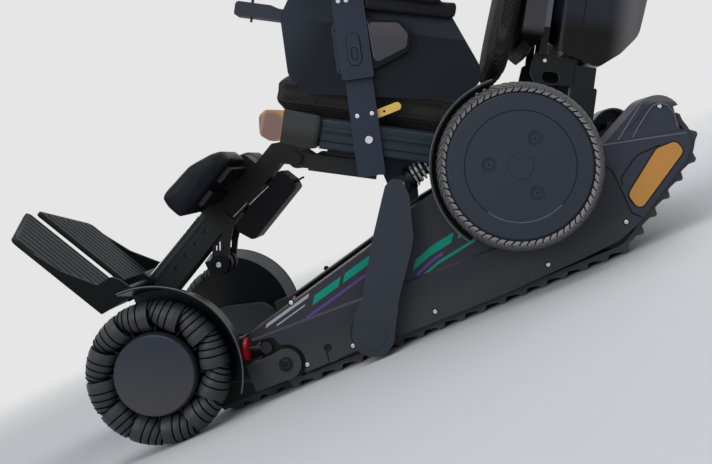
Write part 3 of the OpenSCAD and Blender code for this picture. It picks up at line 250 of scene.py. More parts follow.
def finish_of(name, colour, rough, scale=900, bump=0.10, highlight_strength=0.35, metal=0.0, coat=0.0, beyond=(),
              edge=0.0012, edge_colour=None, shine=0.2):
    """A surface with grain, uneven gloss and a painted highlight along its edges.

    beyond lists other colours: each has a mask function, its values and, if it differs, a metalness.
    """
    made = bpy.data.materials.new(name)
    made.use_nodes = True
    tree = made.node_tree
    bsdf = tree.nodes["Principled BSDF"]
    texture = tree.nodes.new("ShaderNodeGroup")
    texture.node_tree = grain
    texture.inputs["Scale"].default_value = scale
    edge_highlight_node = tree.nodes.new("ShaderNodeGroup")
    edge_highlight_node.node_tree = edges
    edge_highlight_node.inputs["Radius"].default_value = edge
    # The paler edge colour, mixed in by the edge mask, is a painted highlight.
    pale = edge_colour or tuple(min(1.0, c * 2.6 + 0.05) for c in colour)
    tint = mix_colour(tree, math_node(tree, "MULTIPLY", edge_highlight_node.outputs["Mask"], highlight_strength), colour, pale)
    bsdf.inputs["Metallic"].default_value = metal
    for other in beyond:
        mask = other["mask"](tree, *other["from"])
        tint = mix_colour(tree, mask, tint, other["colour"])
        if "metal" in other:
            metal_there = math_node(tree, "MULTIPLY_ADD", mask, other["metal"] - metal, metal)
            tree.links.new(metal_there, bsdf.inputs["Metallic"])
    tree.links.new(tint, bsdf.inputs["Base Color"])
    uneven = math_node(tree, "MULTIPLY_ADD", texture.outputs["Mottle"], 0.24, rough - 0.12)
    tree.links.new(uneven, bsdf.inputs["Roughness"])
    relief = tree.nodes.new("ShaderNodeBump")
    relief.inputs["Strength"].default_value = bump
    relief.inputs["Distance"].default_value = 0.0004
    tree.links.new(texture.outputs["Height"], relief.inputs["Height"])
    tree.links.new(relief.outputs["Normal"], bsdf.inputs["Normal"])
    bsdf.inputs["Specular IOR Level"].default_value = shine
    bsdf.inputs["Coat Weight"].default_value = coat
    bsdf.inputs["Coat Roughness"].default_value = 0.12
    return made


def dress(material, *names):
    """Gives the solids of these names one material."""
    for name in names:
        skin = nodes[name].data.materials
        skin.clear()
        skin.append(material)


def crisp(width, *names):
    """Small rounded edges on a solid, which catch the light as a moulding's do."""
    for name in names:
        solid = nodes[name]
        weld = solid.modifiers.new("weld", "WELD")
        weld.merge_threshold = 0.00002
        bevel = solid.modifiers.new("edge", "BEVEL")
        bevel.width = width
        bevel.segments = 2
        bevel.limit_method = "ANGLE"
        bevel.angle_limit = math.radians(32)
        solid.modifiers.new("shade", "WEIGHTED_NORMAL")


def row(x, y, z):
    """A point on the chassis, from millimetres."""
    return Vector((x / 1000 + CENTRE_X, y / 1000, z / 1000))


black_coat = finish_of("black_powder_coat", (0.006, 0.006, 0.007), 0.48, 700, 0.2)
dress(black_coat, "chassis_frame", "wheel_arms", "legrest_frame")
case_plastic = finish_of("case_plastic", (0.004, 0.004, 0.005), 0.5, 1200, 0.15, shine=0.1)
dress(case_plastic, "battery_case")
dark_casting = finish_of("dark_casting", (0.02, 0.021, 0.024), 0.42, 500, 0.3, 0.5, 0.6)
dress(dark_casting, "drive_motors", "left_sprocket", "right_sprocket", "left_idler", "right_idler")

# Track belts: one moulded rubber loop a side, with saw-tooth lugs for grip, round its sprocket and
# idler. The rubber is greyer than the frame, with a painted highlight along the lug edges.
belt_rubber = finish_of("belt_rubber", (0.064, 0.064, 0.069), 0.66, 500, 0.35, 0.5)
dress(belt_rubber, "track_belts")

# Side covers: dark grey moulded plastic shells, held to the frame plates by small bright screws.
# Seams part the skirt from the rear end, where an amber panel sits under the arched sprocket cover.
FLANK_Y = 242
SKIRT_Y = 246
ARCH_Y = 244
LATHE_STEPS = 24


def select_only(piece):
    """Makes the piece the selected and active one."""
    clear_selection()
    piece.select_set(True)
    bpy.context.view_layer.objects.active = piece


def lathe(profile):
    """A turned solid about Z from millimetre (radius, height) pairs."""
    mesh = bpy.data.meshes.new("turned")
    points = [(r / 1000, 0, h / 1000) for r, h in profile]
    mesh.from_pydata(points, [(k, k + 1) for k in range(len(points) - 1)], [])
    piece = bpy.data.objects.new("turned", mesh)
    scene.collection.objects.link(piece)
    select_only(piece)
    bpy.ops.object.mode_set(mode="EDIT")
    bpy.ops.mesh.select_all(action="SELECT")
    bpy.ops.mesh.spin(steps=LATHE_STEPS, angle=math.tau, center=(0, 0, 0), axis=(0, 0, 1))
    bpy.ops.mesh.select_all(action="SELECT")
    bpy.ops.mesh.remove_doubles(threshold=0.000005)
    bpy.ops.mesh.normals_make_consistent(inside=False)
    bpy.ops.object.mode_set(mode="OBJECT")
    bpy.ops.object.shade_smooth_by_angle(angle=math.radians(35))
    return piece


def copy_at(piece, place, way):
    """A copy with its own mesh, its Z axis turned to way, set at place."""
    made = piece.copy()
    made.data = piece.data.copy()
    scene.collection.objects.link(made)
    facing_way = Vector(way).to_track_quat("Z", "Y").to_matrix().to_4x4()
    made.data.transform(Matrix.Translation(place) @ facing_way)
    return made


def join_as(name, pieces, material, body):
    """The pieces as one, with a name, a material and the body that carries it."""
    clear_selection()
    for piece in pieces:
        piece.select_set(True)
    bpy.context.view_layer.objects.active = pieces[0]
    if len(pieces) > 1:
        bpy.ops.object.join()
    made = pieces[0]
    made.name = name
    made.data.materials.clear()
    made.data.materials.append(material)
    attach(made, body)


def repeat(name, pattern, places, material, body):
    """One piece made of a pattern copied to each (place, way); the pattern itself goes."""
    join_as(name, [copy_at(pattern, *spot) for spot in places], material, body)
    bpy.data.objects.remove(pattern)


def cord_piece(name, places, radius, material, body, closed=False, flat=1.0):
    """A bead through the places, round or flattened across the chair."""
    path = bpy.data.curves.new(name, "CURVE")
    path.dimensions = "3D"
    path.bevel_depth = radius
    path.bevel_resolution = 2
    line = path.splines.new("POLY")
    line.points.add(len(places) - 1)
    for point, place in zip(line.points, places):
        point.co = (*place, 1)
    line.use_cyclic_u = closed
    holder = bpy.data.objects.new(name, path)
    scene.collection.objects.link(holder)
    select_only(holder)
    bpy.ops.object.convert(target="MESH")
    piece = bpy.context.object
    bpy.ops.object.shade_smooth()
    level = places[0].y
    for vertex in piece.data.vertices:
        vertex.co.y = level + (vertex.co.y - level) * flat
    join_as(name, [piece], material, body)


cover_plastic = finish_of("cover_plastic", (0.032, 0.033, 0.040), 0.44, 1500, 0.08, 0.6, beyond=[{
    "mask": ramp_along, "from": (row(0, 0, 70), (0, 0, -1), 0.05), "colour": (0.045, 0.045, 0.050)}, {
    "mask": past_plane, "from": (row(297, 0, 0), (1, 0, 0)), "colour": (0.038, 0.045, 0.062)}])
dress(cover_plastic, "side_covers")
# The arched cover is painted pale grey towards its top: a painted highlight.
arch_plastic = finish_of("arch_plastic", (0.038, 0.045, 0.062), 0.44, 1500, 0.08, 0.6, beyond=[{
    "mask": ramp_along, "from": (row(422, 0, 249), up_way, 0.014), "colour": (0.125, 0.122, 0.122)}])
dress(arch_plastic, "sprocket_covers")
amber_panel = finish_of("amber_panel", (0.56, 0.27, 0.065), 0.38, 900, 0.05, 0.3)
dress(amber_panel, "amber_panels")
bright_steel = finish_of("bright_steel", (0.62, 0.63, 0.65), 0.3, 400, 0.05, 0.2, 1.0)
# Near black for dark joints and holes, and for some painted shade.
dark_joint_and_shade = finish_of("dark_joint_and_shade", (0.006, 0.006, 0.007), 0.6, 900, 0.05, 0.0)
PAN_HEAD = [(0, 0.3), (0.9, 0.3), (1.1, 1.2), (3.4, 1.2), (4.2, 0.6), (4.2, -0.8)]
SCREW_SEAT = [(0, 0.15), (6.2, 0.15), (6.6, -0.4)]
COVER_HOLE = [(0, 0.1), (6.4, 0.1), (7.2, 0.5), (7.8, 0.3), (7.8, -0.5)]
HOLE_AT = (-336, 53)
SKIRT_SCREWS = [(-384, 38), (-290, 38), (-120, 39), (114, 40), (283, 59)]
FLANK_SCREW = (-369, 159)
ARCH_SCREW = (426.5, 239.6)
for side, s in SIDES:
    out = (0, s, 0)
    spots = [(row(x, s * SKIRT_Y, z), out) for x, z in SKIRT_SCREWS]
    for (x, z), y in ((FLANK_SCREW, FLANK_Y), (ARCH_SCREW, ARCH_Y)):
        spots.append((row(x, s * y, z), out))
    repeat(side + "_cover_screws", lathe(PAN_HEAD), spots, bright_steel, "chassis")
    repeat(side + "_cover_screw_seats", lathe(SCREW_SEAT), spots, dark_joint_and_shade, "chassis")
    spots = [(row(HOLE_AT[0], s * SKIRT_Y, HOLE_AT[1]), out)]
    repeat(side + "_cover_hole", lathe(COVER_HOLE), spots, dark_joint_and_shade, "chassis")

SEAMS = [[(284.6, 175), (295.7, 158.5), (299.6, 70.8), (313.6, 57)],
         [(303, 128), (306, 141), (341, 165), (353, 170), (398, 171)],
         [(-341, 47), (-343, 24.5), (-393, 24.7)], [(-326, 24.9), (-280, 25.2), (-276, 21)]]
AMBER_CORNER = 13
AMBER = [(305, 106), (315, 69), (436, 143), (429, 167), (389, 167)]
# Pale grey lines along the cover's lit top edges at the rear are painted highlights.
HIGHLIGHT_EDGES = [[(296, 212), (376, 193), (454, 173.5)],
                [(356, 205), (373, 218), (402, 239), (414, 246), (429, 245), (440, 236), (446, 218),
                 (443, 190)],
                [(328, 210), (359, 232), (396, 258.5)]]


def rounded_ring(corners, radius, count=6):
    """The corners' outline with each corner rounded off."""
    ring = []
    for k, corner in enumerate(corners):
        here = Vector(corner)
        before = (Vector(corners[k - 1]) - here).normalized()
        after = (Vector(corners[(k + 1) % len(corners)]) - here).normalized()
        half = before.angle(after) / 2
        centre = here + (before + after).normalized() * (radius / math.sin(half))
        first, last = (here + way * (radius / math.tan(half)) for way in (before, after))
        for step in range(count + 1):
            mixed = first.lerp(last, step / count) - centre
            ring.append(centre + mixed.normalized() * radius)
    return ring


# A pale grey for painted highlight lines.
edge_highlight_grey = finish_of("edge_highlight_grey", (0.13, 0.135, 0.15), 0.35, 900, 0.05, 0.3)
for side, s in SIDES:
    for k, line in enumerate(SEAMS):
        path = [row(x, s * (SKIRT_Y + 0.1), z) for x, z in line]
        cord_piece(f"{side}_cover_seam_{k}", path, 0.0016, dark_joint_and_shade, "chassis", flat=0.4)
    path = [row(x, s * (SKIRT_Y + 0.2), z) for x, z in rounded_ring(AMBER, AMBER_CORNER)]
    cord_piece(side + "_amber_gap", path, 0.0026, dark_joint_and_shade, "chassis", closed=True, flat=0.3)
    for k, line in enumerate(HIGHLIGHT_EDGES):
        path = [row(x, s * SKIRT_Y, z) for x, z in line]
        cord_piece(f"{side}_cover_highlight_{k}", path, 0.0013, edge_highlight_grey, "chassis", flat=0.5)

# Track nose: a low painted ramp ahead of each belt, shod with rubber teeth, that leads the track.
# It is bolted to the front of the side unit, inside the suspension arm, and clears the belt's turn.
NOSE_Y = (153, 202)
NOSE_INSET = 2
BELT_FRONT = (-400, 59.4)
NOSE_GAP_R = 62
TIP_R = 22
TIP_AT = (-597, 34)
TEETH_FROM, TEETH_TO = -426, -582
TEETH = 4
TOOTH_PITCH = 36
TOOTH_FOOT, TOOTH_TIP, SOLE_TOP = 9, 0.3, 16


def mesh_piece(name, points, faces, lift=None):
    """A new mesh, thickened by lift where that is given, with its faces turned outwards."""
    mesh = bpy.data.meshes.new(name)
    mesh.from_pydata(points, [], faces)
    piece = bpy.data.objects.new(name, mesh)
    scene.collection.objects.link(piece)
    select_only(piece)
    bpy.ops.object.mode_set(mode="EDIT")
    bpy.ops.mesh.select_all(action="SELECT")
    if lift is not None:
        bpy.ops.mesh.extrude_region_move(TRANSFORM_OT_translate={"value": lift})
        bpy.ops.mesh.select_all(action="SELECT")
    bpy.ops.mesh.normals_make_consistent(inside=False)
    bpy.ops.object.mode_set(mode="OBJECT")
    return piece


def outline_piece(ring, lift, bevel):
    """A flat plate from its outline, thickened by lift, with small rounded edges."""
    piece = mesh_piece("plate", ring, [tuple(range(len(ring)))], lift)
    rounder = piece.modifiers.new("edge", "BEVEL")
    rounder.width = bevel
    rounder.segments = 2
    rounder.limit_method = "ANGLE"
    bpy.ops.object.modifier_apply(modifier=rounder.name)
    return piece


def nose_outline():
    """The ramp ahead of the belt: round the belt's front, up to the cover and down the slope."""
    behind = []
    for k in range(6):
        way = math.radians(245 - 5.2 * k)
        behind.append((BELT_FRONT[0] + NOSE_GAP_R * math.cos(way),
                       BELT_FRONT[1] + NOSE_GAP_R * math.sin(way)))
    tip = [(TIP_AT[0] + TIP_R * (1 - math.cos(a)), TIP_AT[1] + TIP_R * math.sin(a))
           for a in (1.2, 0.7, 0.2, -0.3, -0.8)]
    return behind + [(-469, 21), (-469, 102), (-540, 84)] + tip + [(TEETH_TO, 13)]


def teeth_outline():
    """The rubber sole under the ramp, with its row of slanted teeth."""
    ring = [(TEETH_TO, SOLE_TOP), (TEETH_FROM, SOLE_TOP), (TEETH_FROM, TOOTH_FOOT)]
    for k in range(TEETH):
        start = TEETH_FROM - 4 - TOOTH_PITCH * k
        ring += [(start, TOOTH_FOOT), (start - 7, TOOTH_TIP), (start - 17, TOOTH_TIP),
                 (start - 30, TOOTH_FOOT)]
    return ring + [(TEETH_TO + 2, TOOTH_FOOT)]


nose_paint = finish_of("nose_paint", (0.022, 0.022, 0.024), 0.5, 900, 0.12)
for side, s in SIDES:
    near, far = NOSE_Y
    ring = [row(x, s * (near + NOSE_INSET), z) for x, z in nose_outline()]
    span = (0, s * (far - near - 2 * NOSE_INSET) / 1000, 0)
    join_as(side + "_track_nose", [outline_piece(ring, span, 0.002)], nose_paint, "chassis")
    ring = [row(x, s * near, z) for x, z in teeth_outline()]
    span = (0, s * (far - near) / 1000, 0)
    join_as(side + "_nose_teeth", [outline_piece(ring, span, 0.0008)], belt_rubber, "chassis")

# Printed stripes: plain bars in three inks on the flank of each cover, along its top edge.
# Each is a film as thin as paint, with slanted ends.
PRINT_Y = FLANK_Y + 0.12
PRINT_SLANT = 0.7
PRINT_THICK = 0.3
COVER_TOP = [(-470, 133), (-325, 168), (-199, 199), (-78, 242), (12, 257)]


def cover_top(x):
    """The height of the flank's top edge."""
    for (x0, z0), (x1, z1) in zip(COVER_TOP, COVER_TOP[1:]):
        if x <= x1:
            return z0 + (z1 - z0) * (x - x0) / (x1 - x0)
    return COVER_TOP[-1][1]


def stripe(start, end, drop, width, s):
    """One printed bar that follows the cover's top edge, with slanted ends."""
    count = max(2, int((end - start) / 12))
    points, faces = [], []
    for k in range(count + 1):
        x = start + (end - start) * k / count
        z = cover_top(x) - drop
        points += [row(x, s * PRINT_Y, z), row(x - PRINT_SLANT * width, s * PRINT_Y, z - width)]
    for k in range(count):
        faces.append((2 * k, 2 * k + 1, 2 * k + 3, 2 * k + 2))
    return mesh_piece("stripe", points, faces, (0, -s * PRINT_THICK / 1000, 0))


TEAL_BARS = [(-322, -262, 14, 16), (-252, -150, 14, 16), (-118, -30, 84, 17), (-16, 20, 84, 17),
             (-128, 6, 116, 6)]
VIOLET_BARS = [(-352, -215, 38, 6), (-124, -62, 105, 7)]
PALE_BARS = [(-428, -330, 4, 7), (-410, -345, 17, 3)]
teal_print = finish_of("teal_print", (0.0, 0.262, 0.185), 0.45, 900, 0.03, 0.0)
violet_print = finish_of("violet_print", (0.105, 0.055, 0.24), 0.45, 900, 0.03, 0.0)
pale_print = finish_of("pale_print", (0.36, 0.37, 0.40), 0.45, 900, 0.03, 0.0)
for side, s in SIDES:
    for label, bars, ink in (("teal", TEAL_BARS, teal_print), ("violet", VIOLET_BARS, violet_print),
                             ("pale", PALE_BARS, pale_print)):
        join_as(f"{side}_{label}_stripes", [stripe(*bar, s) for bar in bars], ink, "chassis")

# Front wheels: a painted suspension arm, a red rubber bump damper, a glossy mudguard and an omni
# wheel of twelve leaning rubber rollers round a slate hub. The damper's disc alone is red.
FRONT_X = -640
OMNI_R = 135.5
OMNI_MID = 275
HUB_R = 75.7
HUB_INNER_Y = 262
FRONT_AXLE = row(FRONT_X, 0, OMNI_R)
DAMPER_TURN = math.radians(17)
DAMPER_FOOT = row(-444, 0, 98)
DISC_HEIGHT = 34.3
damper_way = (-math.cos(DAMPER_TURN), 0, math.sin(DAMPER_TURN))
disc_start = DAMPER_FOOT + Vector(damper_way) * (DISC_HEIGHT / 1000)


def sideways(tree, level, sense):
    """1 where a point lies farther out, or in, across the chair than the level."""
    parts = tree.nodes.new("ShaderNodeSeparateXYZ")
    tree.links.new(object_place(tree), parts.inputs["Vector"])
    return math_node(tree, sense, math_node(tree, "ABSOLUTE", parts.outputs["Y"]), level)


def round_axle(axle, radius, y, degrees):
    """A point about an axle, from millimetres and degrees."""
    way = math.radians(degrees)
    return axle + Vector((radius * math.cos(way), y, radius * math.sin(way))) / 1000


def arc_line(axle, radius, y, first, sweep, count=42):
    """Points along an arc about an axle."""
    return [round_axle(axle, radius, y, first + sweep * k / count) for k in range(count + 1)]


arm_paint = finish_of("arm_paint", (0.045, 0.045, 0.048), 0.42, 900, 0.12, 0.5)
dress(arm_paint, "left_front_arm", "right_front_arm")
damper_red = finish_of("damper_red", (0.02, 0.02, 0.022), 0.38, 900, 0.05, beyond=[{
    "mask": past_plane, "from": (disc_start, damper_way), "colour": (0.50, 0.006, 0.02)}])
dress(damper_red, "front_dampers")
guard_plastic = finish_of("guard_plastic", (0.007, 0.008, 0.010), 0.34, 1500, 0.03, 0.2, 0.0, 0.05,
                          shine=0.12)
dress(guard_plastic, "left_mudguard", "right_mudguard")
# Painted light on the hub: paler towards its bottom, painted shade past its rim between the rollers, and
# painted shade on its inner side.
hub_paint = finish_of("hub_paint", (0.028, 0.035, 0.050), 0.34, 900, 0.05, 0.4, beyond=[{
    "mask": ramp_along, "from": (FRONT_AXLE, -up_way, 0.15), "colour": (0.060, 0.058, 0.060)}, {
    "mask": past_radius, "from": (FRONT_AXLE, HUB_R / 1000, 0.0004), "colour": (0.003, 0.003, 0.004)}, {
    "mask": sideways, "from": (HUB_INNER_Y / 1000, "LESS_THAN"), "colour": (0.006, 0.006, 0.007)}])
dress(hub_paint, "left_omni_hub", "right_omni_hub")
roller_rubber = finish_of("roller_rubber", (0.042, 0.044, 0.050), 0.40, 700, 0.12, 0.5)
dress(roller_rubber, "left_rollers", "right_rollers")
PIVOT = (-420, 55)
PIVOT_FACE = 252
PIVOT_BOLT = [(0, 0.2), (4.2, 0.2), (4.6, 3.0), (8.4, 3.0), (9.2, 2.2), (9.2, -0.8)]
for side, s in SIDES:
    spots = [(row(PIVOT[0], s * PIVOT_FACE, PIVOT[1]), (0, s, 0))]
    repeat(side + "_pivot_bolt", lathe(PIVOT_BOLT), spots, dark_casting, side + "_front_arm")

ROLLERS = 12
ROLLER_AXIS = 109.5
ROLLER_LEAN = math.radians(11)
GROOVES_AT = (-7.5, 6.5, 19.5, 29)
GROOVE_R = 1.8
GROOVE_SINK = 1.2
# Black rings laid in the rollers' grooves are painted shade.
shade_black = finish_of("shade_black", (0.002, 0.002, 0.002), 0.7, 900, 0.05, 0.0, shine=0.05)
for side, s in SIDES:
    rings = []
    for along in GROOVES_AT:
        crown = math.sqrt(OMNI_R ** 2 - (along + ROLLER_AXIS * math.sin(ROLLER_LEAN)) ** 2)
        middle = crown - ROLLER_AXIS * math.cos(ROLLER_LEAN) - GROOVE_SINK
        eighths = [math.pi / 4 * a for a in range(9)]
        pattern = lathe([(middle + GROOVE_R * math.cos(a), GROOVE_R * math.sin(a)) for a in eighths])
        out = ROLLER_AXIS + along * math.sin(ROLLER_LEAN)
        up = along * math.cos(ROLLER_LEAN)
        for k in range(ROLLERS):
            turned = math.tau * k / ROLLERS
            place = row(FRONT_X + out * math.cos(turned) + up * math.sin(turned), s * OMNI_MID,
                        OMNI_R - out * math.sin(turned) + up * math.cos(turned))
            way = (math.sin(ROLLER_LEAN + turned), 0, math.cos(ROLLER_LEAN + turned))
            rings.append(copy_at(pattern, place, way))
        bpy.data.objects.remove(pattern)
    join_as(side + "_roller_groove_shade", rings, shade_black, side + "_front_wheel")

GUARD_R, GUARD_Y = 165.5, 305.8
GUARD_ARC = (-33, 125)
# A pale grey for painted highlight lines; here it runs along each mudguard's outer edge.
highlight_grey = finish_of("highlight_grey", (0.10, 0.105, 0.12), 0.35, 900, 0.05, 0.3)
for side, s in SIDES:
    rim = arc_line(FRONT_AXLE, GUARD_R, s * GUARD_Y, *GUARD_ARC)
    cord_piece(side + "_mudguard_highlight", rim, 0.0011, highlight_grey, side + "_front_arm")

# Rear wheels: a smooth plastic disc inside a rubber tyre with chevron lugs, under a thin black
# fender. Three recessed screws and a plain cap mark the disc.
TYRE_MID = 287
REAR_AXLE = row(131, 0, 237)
LUG_PATH = [(154.7, 287.6, -12), (154.6, 296, -9.5), (152.9, 303, -7), (149.4, 307.6, -3.8),
            (145.4, 310, 0), (139.2, 308.4, -2.6)]
LUG_COUNT = 64
LUG_ARC = 3.6
LUG_RISE = 2.4
LUG_ROOT = -1.0
LUG_INSET = 0.45
LUG_END = 0.35
# A pale grey line on each fender's edge is a painted highlight, and a flat black band inside it is painted
# shade.
FENDER_R, FENDER_Y = 167, 311.8
FENDER_SHADE_R, FENDER_SHADE_Y = 162.2, 305
FENDER_ARC = (86, 128)
DISC_RING_R, DISC_RING_Y = 103.3, 310.1
DISC_SCREWS_AT = (40, 155, 280)
DISC_SCREW = [(0, -1.0), (2.0, -1.0), (2.2, 0.8), (7.6, 0.8), (8.6, -0.4)]
DISC_SOCKET = [(0, 1.0), (1.9, 1.0), (2.2, 0)]
DISC_SCREW_R = 58
DISC_FACE = 307.2
# The tyre is black rubber, kept near black so the gaps between the paler lugs read dark: partly painted
# shade.
tyre_rubber = finish_of("tyre_rubber", (0.006, 0.006, 0.006), 0.6, 700, 0.2, 0.1)
dress(tyre_rubber, "left_tyre", "right_tyre")
lug_rubber = finish_of("lug_rubber", (0.085, 0.083, 0.083), 0.42, 700, 0.2, 0.8)
disc_plastic = finish_of("disc_plastic", (0.029, 0.037, 0.051), 0.4, 1500, 0.05)
dress(disc_plastic, "left_wheel_disc", "right_wheel_disc")
fender_plastic = finish_of("fender_plastic", (0.014, 0.015, 0.017), 0.34, 1200, 0.05, 1.0)
dress(fender_plastic, "rear_fenders")


def tread(s):
    """Two rows of chevron lugs round one tyre, each a bar swept along LUG_PATH."""
    points, faces = [], []
    for half in (1, -1):
        for lug in range(LUG_COUNT):
            first = len(points)
            for k, (radius, y, lean) in enumerate(LUG_PATH):
                lift = LUG_RISE * (LUG_END if k in (0, len(LUG_PATH) - 1) else 1)
                for rise, inset in ((LUG_ROOT, 0.0), (lift, LUG_INSET)):
                    spread = 0.5 * max(rise, 0) if k > 2 else 0
                    across = s * (TYRE_MID + half * (y - TYRE_MID + spread)) / 1000
                    r = (radius + rise) / 1000
                    for end in (inset, LUG_ARC - inset):
                        angle = math.radians(lug * 360 / LUG_COUNT - lean + end)
                        points.append((REAR_AXLE.x + r * math.cos(angle), across,
                                       REAR_AXLE.z + r * math.sin(angle)))
            for k in range(len(LUG_PATH) - 1):
                a, b = first + 4 * k, first + 4 * k + 4
                for i, j in ((0, 2), (2, 3), (3, 1), (1, 0)):
                    faces.append((a + i, a + j, b + j, b + i))
            last = first + 4 * (len(LUG_PATH) - 1)
            faces.append((first, first + 1, first + 3, first + 2))
            faces.append((last, last + 2, last + 3, last + 1))
    return mesh_piece("tread", points, faces)


for side, s in SIDES:
    join_as(side + "_tread", [tread(s)], lug_rubber, side + "_rear_wheel")
    places = [round_axle(REAR_AXLE, DISC_SCREW_R, s * DISC_FACE, turned) for turned in DISC_SCREWS_AT]
    spots = [(place, (0, s, 0)) for place in places]
    repeat(side + "_disc_screws", lathe(DISC_SCREW), spots, disc_plastic, side + "_rear_wheel")
    repeat(side + "_disc_sockets", lathe(DISC_SOCKET), spots, dark_joint_and_shade, side + "_rear_wheel")
    for label, first, sweep, ink in (("shade", -65, 277, dark_joint_and_shade), ("light", 212, 83, highlight_grey)):
        arc = arc_line(REAR_AXLE, DISC_RING_R, s * DISC_RING_Y, first, sweep, 60)
        cord_piece(f"{side}_disc_{label}", arc, 0.0010, ink, side + "_rear_wheel", flat=0.4)
    rim = arc_line(REAR_AXLE, FENDER_R, s * FENDER_Y, *FENDER_ARC)
    cord_piece(side + "_fender_highlight", rim, 0.0011, highlight_grey, "swing")
    shade_arc = arc_line(REAR_AXLE, FENDER_SHADE_R, s * FENDER_SHADE_Y, *FENDER_ARC)
    cord_piece(side + "_fender_shade", shade_arc, 0.0058, shade_black, "swing", flat=0.3)

# Lift: two flat painted arms that raise the seat over the tracks. They swing on one bright cross
# shaft in the chassis and carry the seat on another.
lift_paint = finish_of("lift_paint", (0.031, 0.039, 0.051), 0.4, 1200, 0.08, 0.5)
dress(lift_paint, "lift_arms")
dress(bright_steel, "lift_shafts")

# Seat frame: grooved aluminium side rails with a dark anodised coat, lamp housings and amber
# lamps at the front, coil-over shocks below and the flat posts that carry the armrests.
TILT = math.radians(30)
SEAT_SHAFT = (-93, 288)
KNEE = (-225, 24)
SEAT_UP = Vector((math.sin(TILT), 0, math.cos(TILT)))
SEAT_BACK = Vector((math.cos(TILT), 0, -math.sin(TILT)))


def seat(u, y, w):
    """A point in the tilted seat's frame, from millimetres back, across and up."""
    return row(SEAT_SHAFT[0] + u * math.cos(TILT) + w * math.sin(TILT), y,
               SEAT_SHAFT[1] - u * math.sin(TILT) + w * math.cos(TILT))


rail_paint = finish_of("rail_paint", (0.016, 0.025, 0.037), 0.4, 1200, 0.08, 0.5)
dress(rail_paint, "seat_frame")
carrier_paint = finish_of("carrier_paint", (0.006, 0.006, 0.007), 0.45, 1200, 0.08, 0.5, beyond=[{
    "mask": past_radius, "from": (seat(KNEE[0], 0, KNEE[1]), 0.026, 0.001), "colour": (0.012, 0.013, 0.016)}])
dress(carrier_paint, "leg_carriers")
post_paint = finish_of("post_paint", (0.021, 0.029, 0.047), 0.42, 1200, 0.08, 0.5)
dress(post_paint, "arm_posts", "left_arm_sleeve", "right_arm_sleeve")
# The lamp housings darken towards their underside: painted shade.
housing_gloss = finish_of("housing_gloss", (0.028, 0.029, 0.032), 0.3, 1500, 0.04, 0.3, 0.0, 0.25, beyond=[{
    "mask": ramp_along, "from": (seat(0, 0, 74), -SEAT_UP, 0.03), "colour": (0.007, 0.007, 0.008)}])
dress(housing_gloss, "lamp_housings")
lamp_amber = finish_of("lamp_amber", (0.22, 0.125, 0.11), 0.25, 900, 0.02, 0.9, 0.0, 0.3, beyond=[{
    "mask": past_radius, "from": (seat(-258, 0, 78), 0.031, 0.010), "colour": (0.58, 0.27, 0.06)}],
    edge=0.003, edge_colour=(0.75, 0.40, 0.15))
dress(lamp_amber, "amber_lamps")
# The springs are chrome, given a near-white, mostly diffuse colour so the coils read bright: a painted
# reflection.
chrome = finish_of("chrome", (0.95, 0.95, 0.96), 0.22, 300, 0.01, 0.1, 0.12, shine=0.6)
dress(chrome, "shock_springs")
dress(dark_casting, "shock_struts")
smooth_coil = nodes["shock_springs"].modifiers.new("round", "SUBSURF")
smooth_coil.levels = smooth_coil.render_levels = 1
gold = finish_of("gold", (0.72, 0.47, 0.13), 0.32, 600, 0.05, 0.3, 0.5)
dress(gold, "left_release_lever", "right_release_lever")
RAIL_FACE = 237.2
RAIL_GROOVES = (66, 84)
RAIL_ENDS = (-160, 113)
POST_Y = 248.5
POST_BOLT_AT = (-67.5, 79)
POST_SCREWS = [(-96, 121), (-69, 130)]
POST_BOLT = [(0, 1.2), (3.4, 1.2), (3.8, 3.0), (6.8, 3.0), (7.8, 2.0), (7.8, -0.6)]
# Dark lines laid along the rails' grooves are painted shade.
for side, s in SIDES:
    for k, w in enumerate(RAIL_GROOVES):
        line = [seat(u, s * RAIL_FACE, w) for u in RAIL_ENDS]
        cord_piece(f"{side}_rail_groove_shade_{k}", line, 0.0012, dark_joint_and_shade, "seat")
for side, s in SIDES:
    out = (0, s, 0)
    spots = [(seat(POST_BOLT_AT[0], s * POST_Y, POST_BOLT_AT[1]), out)]
    repeat(side + "_post_bolt", lathe(POST_BOLT), spots, bright_steel, "seat")
    spots = [(seat(u, s * POST_Y, w), out) for u, w in POST_SCREWS]
    repeat(side + "_post_screws", lathe(PAN_HEAD), spots, bright_steel, "seat")

# Seat cushion: foam under a dark open mesh fabric, laid on the pan. The sewn cover pulls the foam
# round at its rims and leaves it full at the corners.
PUFF_FRAMES = 20
SINK_SHARE = 0.25


def fabric_of(name, colour, pale, scale):
    """A knitted mesh: round dark holes in a paler thread."""
    made = bpy.data.materials.new(name)
    made.use_nodes = True
    tree = made.node_tree
    bsdf = tree.nodes["Principled BSDF"]
    cells = tree.nodes.new("ShaderNodeTexVoronoi")
    cells.inputs["Scale"].default_value = scale
    cells.inputs["Randomness"].default_value = 0.0
    tree.links.new(object_place(tree), cells.inputs["Vector"])
    thread = math_node(tree, "MULTIPLY_ADD", cells.outputs["Distance"], 2.6, -0.7, clamp=True)
    tree.links.new(mix_colour(tree, thread, colour, pale), bsdf.inputs["Base Color"])
    bsdf.inputs["Roughness"].default_value = 0.85
    bsdf.inputs["Specular IOR Level"].default_value = 0.1
    bsdf.inputs["Sheen Weight"].default_value = 0.04
    relief = tree.nodes.new("ShaderNodeBump")
    relief.inputs["Strength"].default_value = 0.5
    relief.inputs["Distance"].default_value = 0.0006
    tree.links.new(thread, relief.inputs["Height"])
    tree.links.new(relief.outputs["Normal"], bsdf.inputs["Normal"])
    return made


